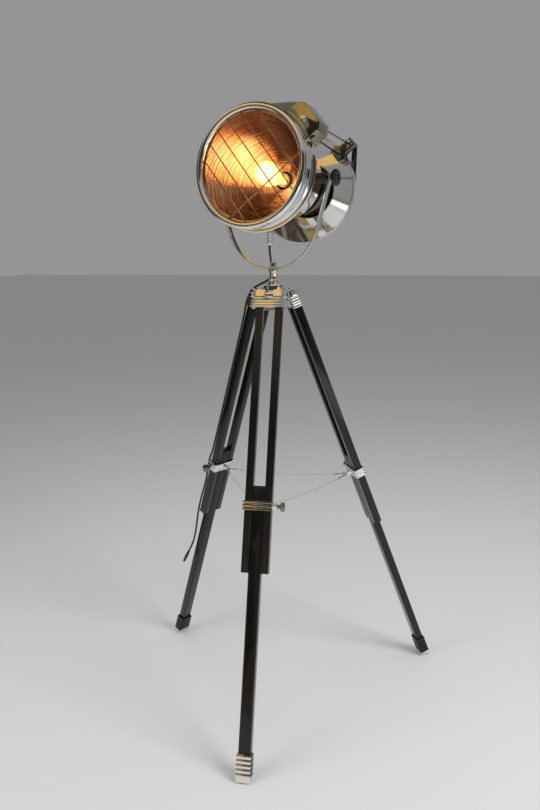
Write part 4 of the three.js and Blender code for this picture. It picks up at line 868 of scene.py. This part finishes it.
EDGE_WIDTHS = {
    "condenser_box": 2.2, "rear_bracket": 1.2, "rear_bar": 1.2, "yoke": 0.9, "hub_plate": 0.8, "swivel_post": 0.6,
    "finial_nut": 0.8, "box_screw": 0.5, "hinge_pin": 0.3, "guide_rod_upper": 0.2, "guide_rod_lower": 0.2,
}
LEG_EDGE_WIDTHS = {
    "bracket": 0.7, "hinge_bolt": 0.5, "clamp": 0.7, "clamp_knob": 0.6, "shoe": 0.7, "lower": 0.8,
    "rail_a": 0.6, "rail_b": 0.6,
}
PIN_TOP_M, PLATE_FACING = 0.012, 0.35

for name, width in EDGE_WIDTHS.items():
    softened(name, width)
bpy.data.objects["condenser_box_finished"].data.materials[0] = MATERIALS["dusky_chrome"]
for side in LEG_ANGLES:
    for part, width in LEG_EDGE_WIDTHS.items():
        softened(f"leg_{side}_{part}", width)
    # The foot's metal is a plate on the outer face and two pins: its other faces are lacquered like the leg
    shoe = bpy.data.objects[f"leg_{side}_shoe_finished"].data
    shoe.materials.append(MATERIALS["black_lacquered_wood"])
    outward = leg_matrix(side).to_3x3() @ Vector((1, 0, 0))
    for face in shoe.polygons:
        if face.normal.dot(outward) < PLATE_FACING and face.center.z > PIN_TOP_M:
            face.material_index = 1

# ---- Spreader chains: a few crumpled rings at each clamp, then a fine wire to the middle ----

CHAINS = [(a, b) for a in LEG_ANGLES for b in LEG_ANGLES if a != b]
RING_COUNT, RING_PITCH, RING_WIRE = 6, 7.0, 0.75
RING_LENGTH = 0.72 * RING_PITCH
RING_WIDTH, RING_NARROWING, RING_TWIST = 2.1, 0.12, 0.5
CHAIN_WIRE, CHAIN_SAG, CHAIN_GAP_M, CHAIN_STEPS = 0.55, 0.03, 0.0006, 24


def ring(bm, centre, along, turn, long_radius, short_radius, wire):
    """An oval link whose long side lies along the chain, a unit vector."""
    side = Matrix.Rotation(turn, 3, along) @ along.orthogonal().normalized()
    points = [
        centre + along * long_radius * math.cos(t) + side * short_radius * math.sin(t)
        for t in (2 * math.pi * k / 18 for k in range(18))
    ]
    rings = tube(bm, points + points[:1], wire, 6, closed_ends=False)
    bmesh.ops.remove_doubles(bm, verts=rings[0] + rings[-1], dist=wire * 0.6)


def make_half_chain(side, other):
    """From the side's clamp to the middle of the gap."""
    node = f"chain_{side}_to_{other}"
    turnward = math.copysign(HOOK_SIDE, math.sin(LEG_ANGLES[other] - LEG_ANGLES[side]))
    start = leg_matrix(side) @ (Vector((HOOK_X, turnward, -CLAMP_DISTANCE)) * MM)
    far = leg_matrix(other) @ (Vector((HOOK_X, -turnward, -CLAMP_DISTANCE)) * MM)
    half = (far - start) / 2
    sag, reach = half.length * 2 * CHAIN_SAG, 1 - CHAIN_GAP_M / half.length
    points = []
    for i in range(CHAIN_STEPS + 1):
        share = i / CHAIN_STEPS
        points.append(start + half * share * reach + Vector((0, 0, -sag * share * (2 - share))))
    bm = bmesh.new()
    tube(bm, points, CHAIN_WIRE * MM, 6)
    along = (points[1] - points[0]).normalized()
    for i in range(RING_COUNT):
        centre = start + along * (RING_PITCH * (i + 0.6) * MM)
        width = (RING_WIDTH - RING_NARROWING * i) * MM
        ring(bm, centre, along, math.pi / 2 * (i % 2) + RING_TWIST * i, RING_LENGTH * MM, width, RING_WIRE * MM)
    piece = finish_mesh(node + "_finished", to_mesh(node, bm), node, 60)
    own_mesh(piece)


for pair in CHAINS:
    make_half_chain(*pair)

# ---- Stage: pale floor, soft lamps, and cards that only the polished metal sees ----


def stage_plane(name, size, location, rotation, colour):
    """A matt plane of the studio, and its shader."""
    bpy.ops.mesh.primitive_plane_add(size=1, location=location, rotation=rotation)
    plane = bpy.context.object
    plane.name = name
    plane.scale = (*size, 1)
    material = bpy.data.materials.new(name)
    material.use_nodes = True
    shader = material.node_tree.nodes["Principled BSDF"]
    shader.inputs["Base Color"].default_value = (*colour, 1)
    shader.inputs["Roughness"].default_value = 0.9
    plane.data.materials.append(material)
    return plane, shader


stage_plane("floor", (40, 40), (0, 0, 0), (0, 0, 0), (0.78, 0.775, 0.77))

world = bpy.data.worlds.new("studio")
bpy.context.scene.world = world
world.use_nodes = True
world.node_tree.nodes["Background"].inputs["Color"].default_value = (0.3, 0.3, 0.305, 1)
world.node_tree.nodes["Background"].inputs["Strength"].default_value = 1.0


def lamp(name, location, target, size, power):
    """A soft lamp that shows in no reflection."""
    data = bpy.data.lights.new(name, "AREA")
    data.shape = "RECTANGLE"
    data.size, data.size_y = size
    data.energy = power
    light = bpy.data.objects.new(name, data)
    bpy.context.scene.collection.objects.link(light)
    light.location = location
    light.visible_glossy = False
    light.rotation_euler = (target - location).to_track_quat("-Z", "Y").to_euler()


BLACK = (0, 0, 0)


def reflection_card(name, size, offset, colour, strength=1.0):
    """A studio card round the head, beyond the frame: only the polished metal sees it."""
    facing = (-offset).to_track_quat("Z", "Y").to_euler()
    card, shader = stage_plane(name, size, PIVOT + offset, facing, BLACK)
    shader.inputs["Emission Color"].default_value = (*colour, 1)
    shader.inputs["Emission Strength"].default_value = strength
    shader.inputs["Specular IOR Level"].default_value = 0
    card.visible_camera = card.visible_diffuse = card.visible_shadow = card.visible_transmission = False


# Directions seen from the camera's side
right, front, up = CAMERA_TURN @ Vector((1, 0, 0)), CAMERA_TURN @ Vector((0, -1, 0)), Vector((0, 0, 1))
middle = Vector((PIVOT.x, PIVOT.y, 0.9))
lamp("key", middle + right * 1.9 + front * 1.6 + up * 1.6, middle + up * 0.3, (1.4, 1.4), 55)
lamp("fill", middle - right * 2.4 + front * 1.6 + up * 0.9, middle, (1.8, 2.4), 26)
lamp("top", middle + up * 2.3, middle, (1.8, 1.8), 22)

# Where the flat of the bezel looks, seen from the camera
bezel_side = front * 0.59 - right * 0.81
reflection_card("card_dark_front", (5.0, 2.2), front * 3.2 + up * 0.5, (0.055, 0.035, 0.02))
reflection_card("card_gold_top", (2.6, 1.4), bezel_side * 1.7 + up * 1.7, (0.8, 0.52, 0.2))
reflection_card("card_dark_middle", (1.5, 0.9), bezel_side * 2.2 + up * 0.25, (0.05, 0.035, 0.02))
reflection_card("card_olive_low", (2.2, 0.9), bezel_side * 1.9 - up * 0.8, (0.34, 0.24, 0.08))
reflection_card("card_dark_left", (3.0, 3.0), -right * 3.0 - front * 0.9, (0.02, 0.014, 0.01))
reflection_card("card_white_low", (1.5, 0.6), right * 1.5 + front * 1.9 - up * 0.9, (1.0, 1.0, 0.97), 1.4)
reflection_card("card_dark_right", (2.2, 1.6), right * 3.0 + front * 0.2 + up * 0.4, (0.03, 0.025, 0.02))
reflection_card("card_dark_above", (4.0, 4.0), up * 3.2 - front * 1.0, (0.06, 0.05, 0.04))

bpy.context.scene.view_settings.view_transform = "Standard"
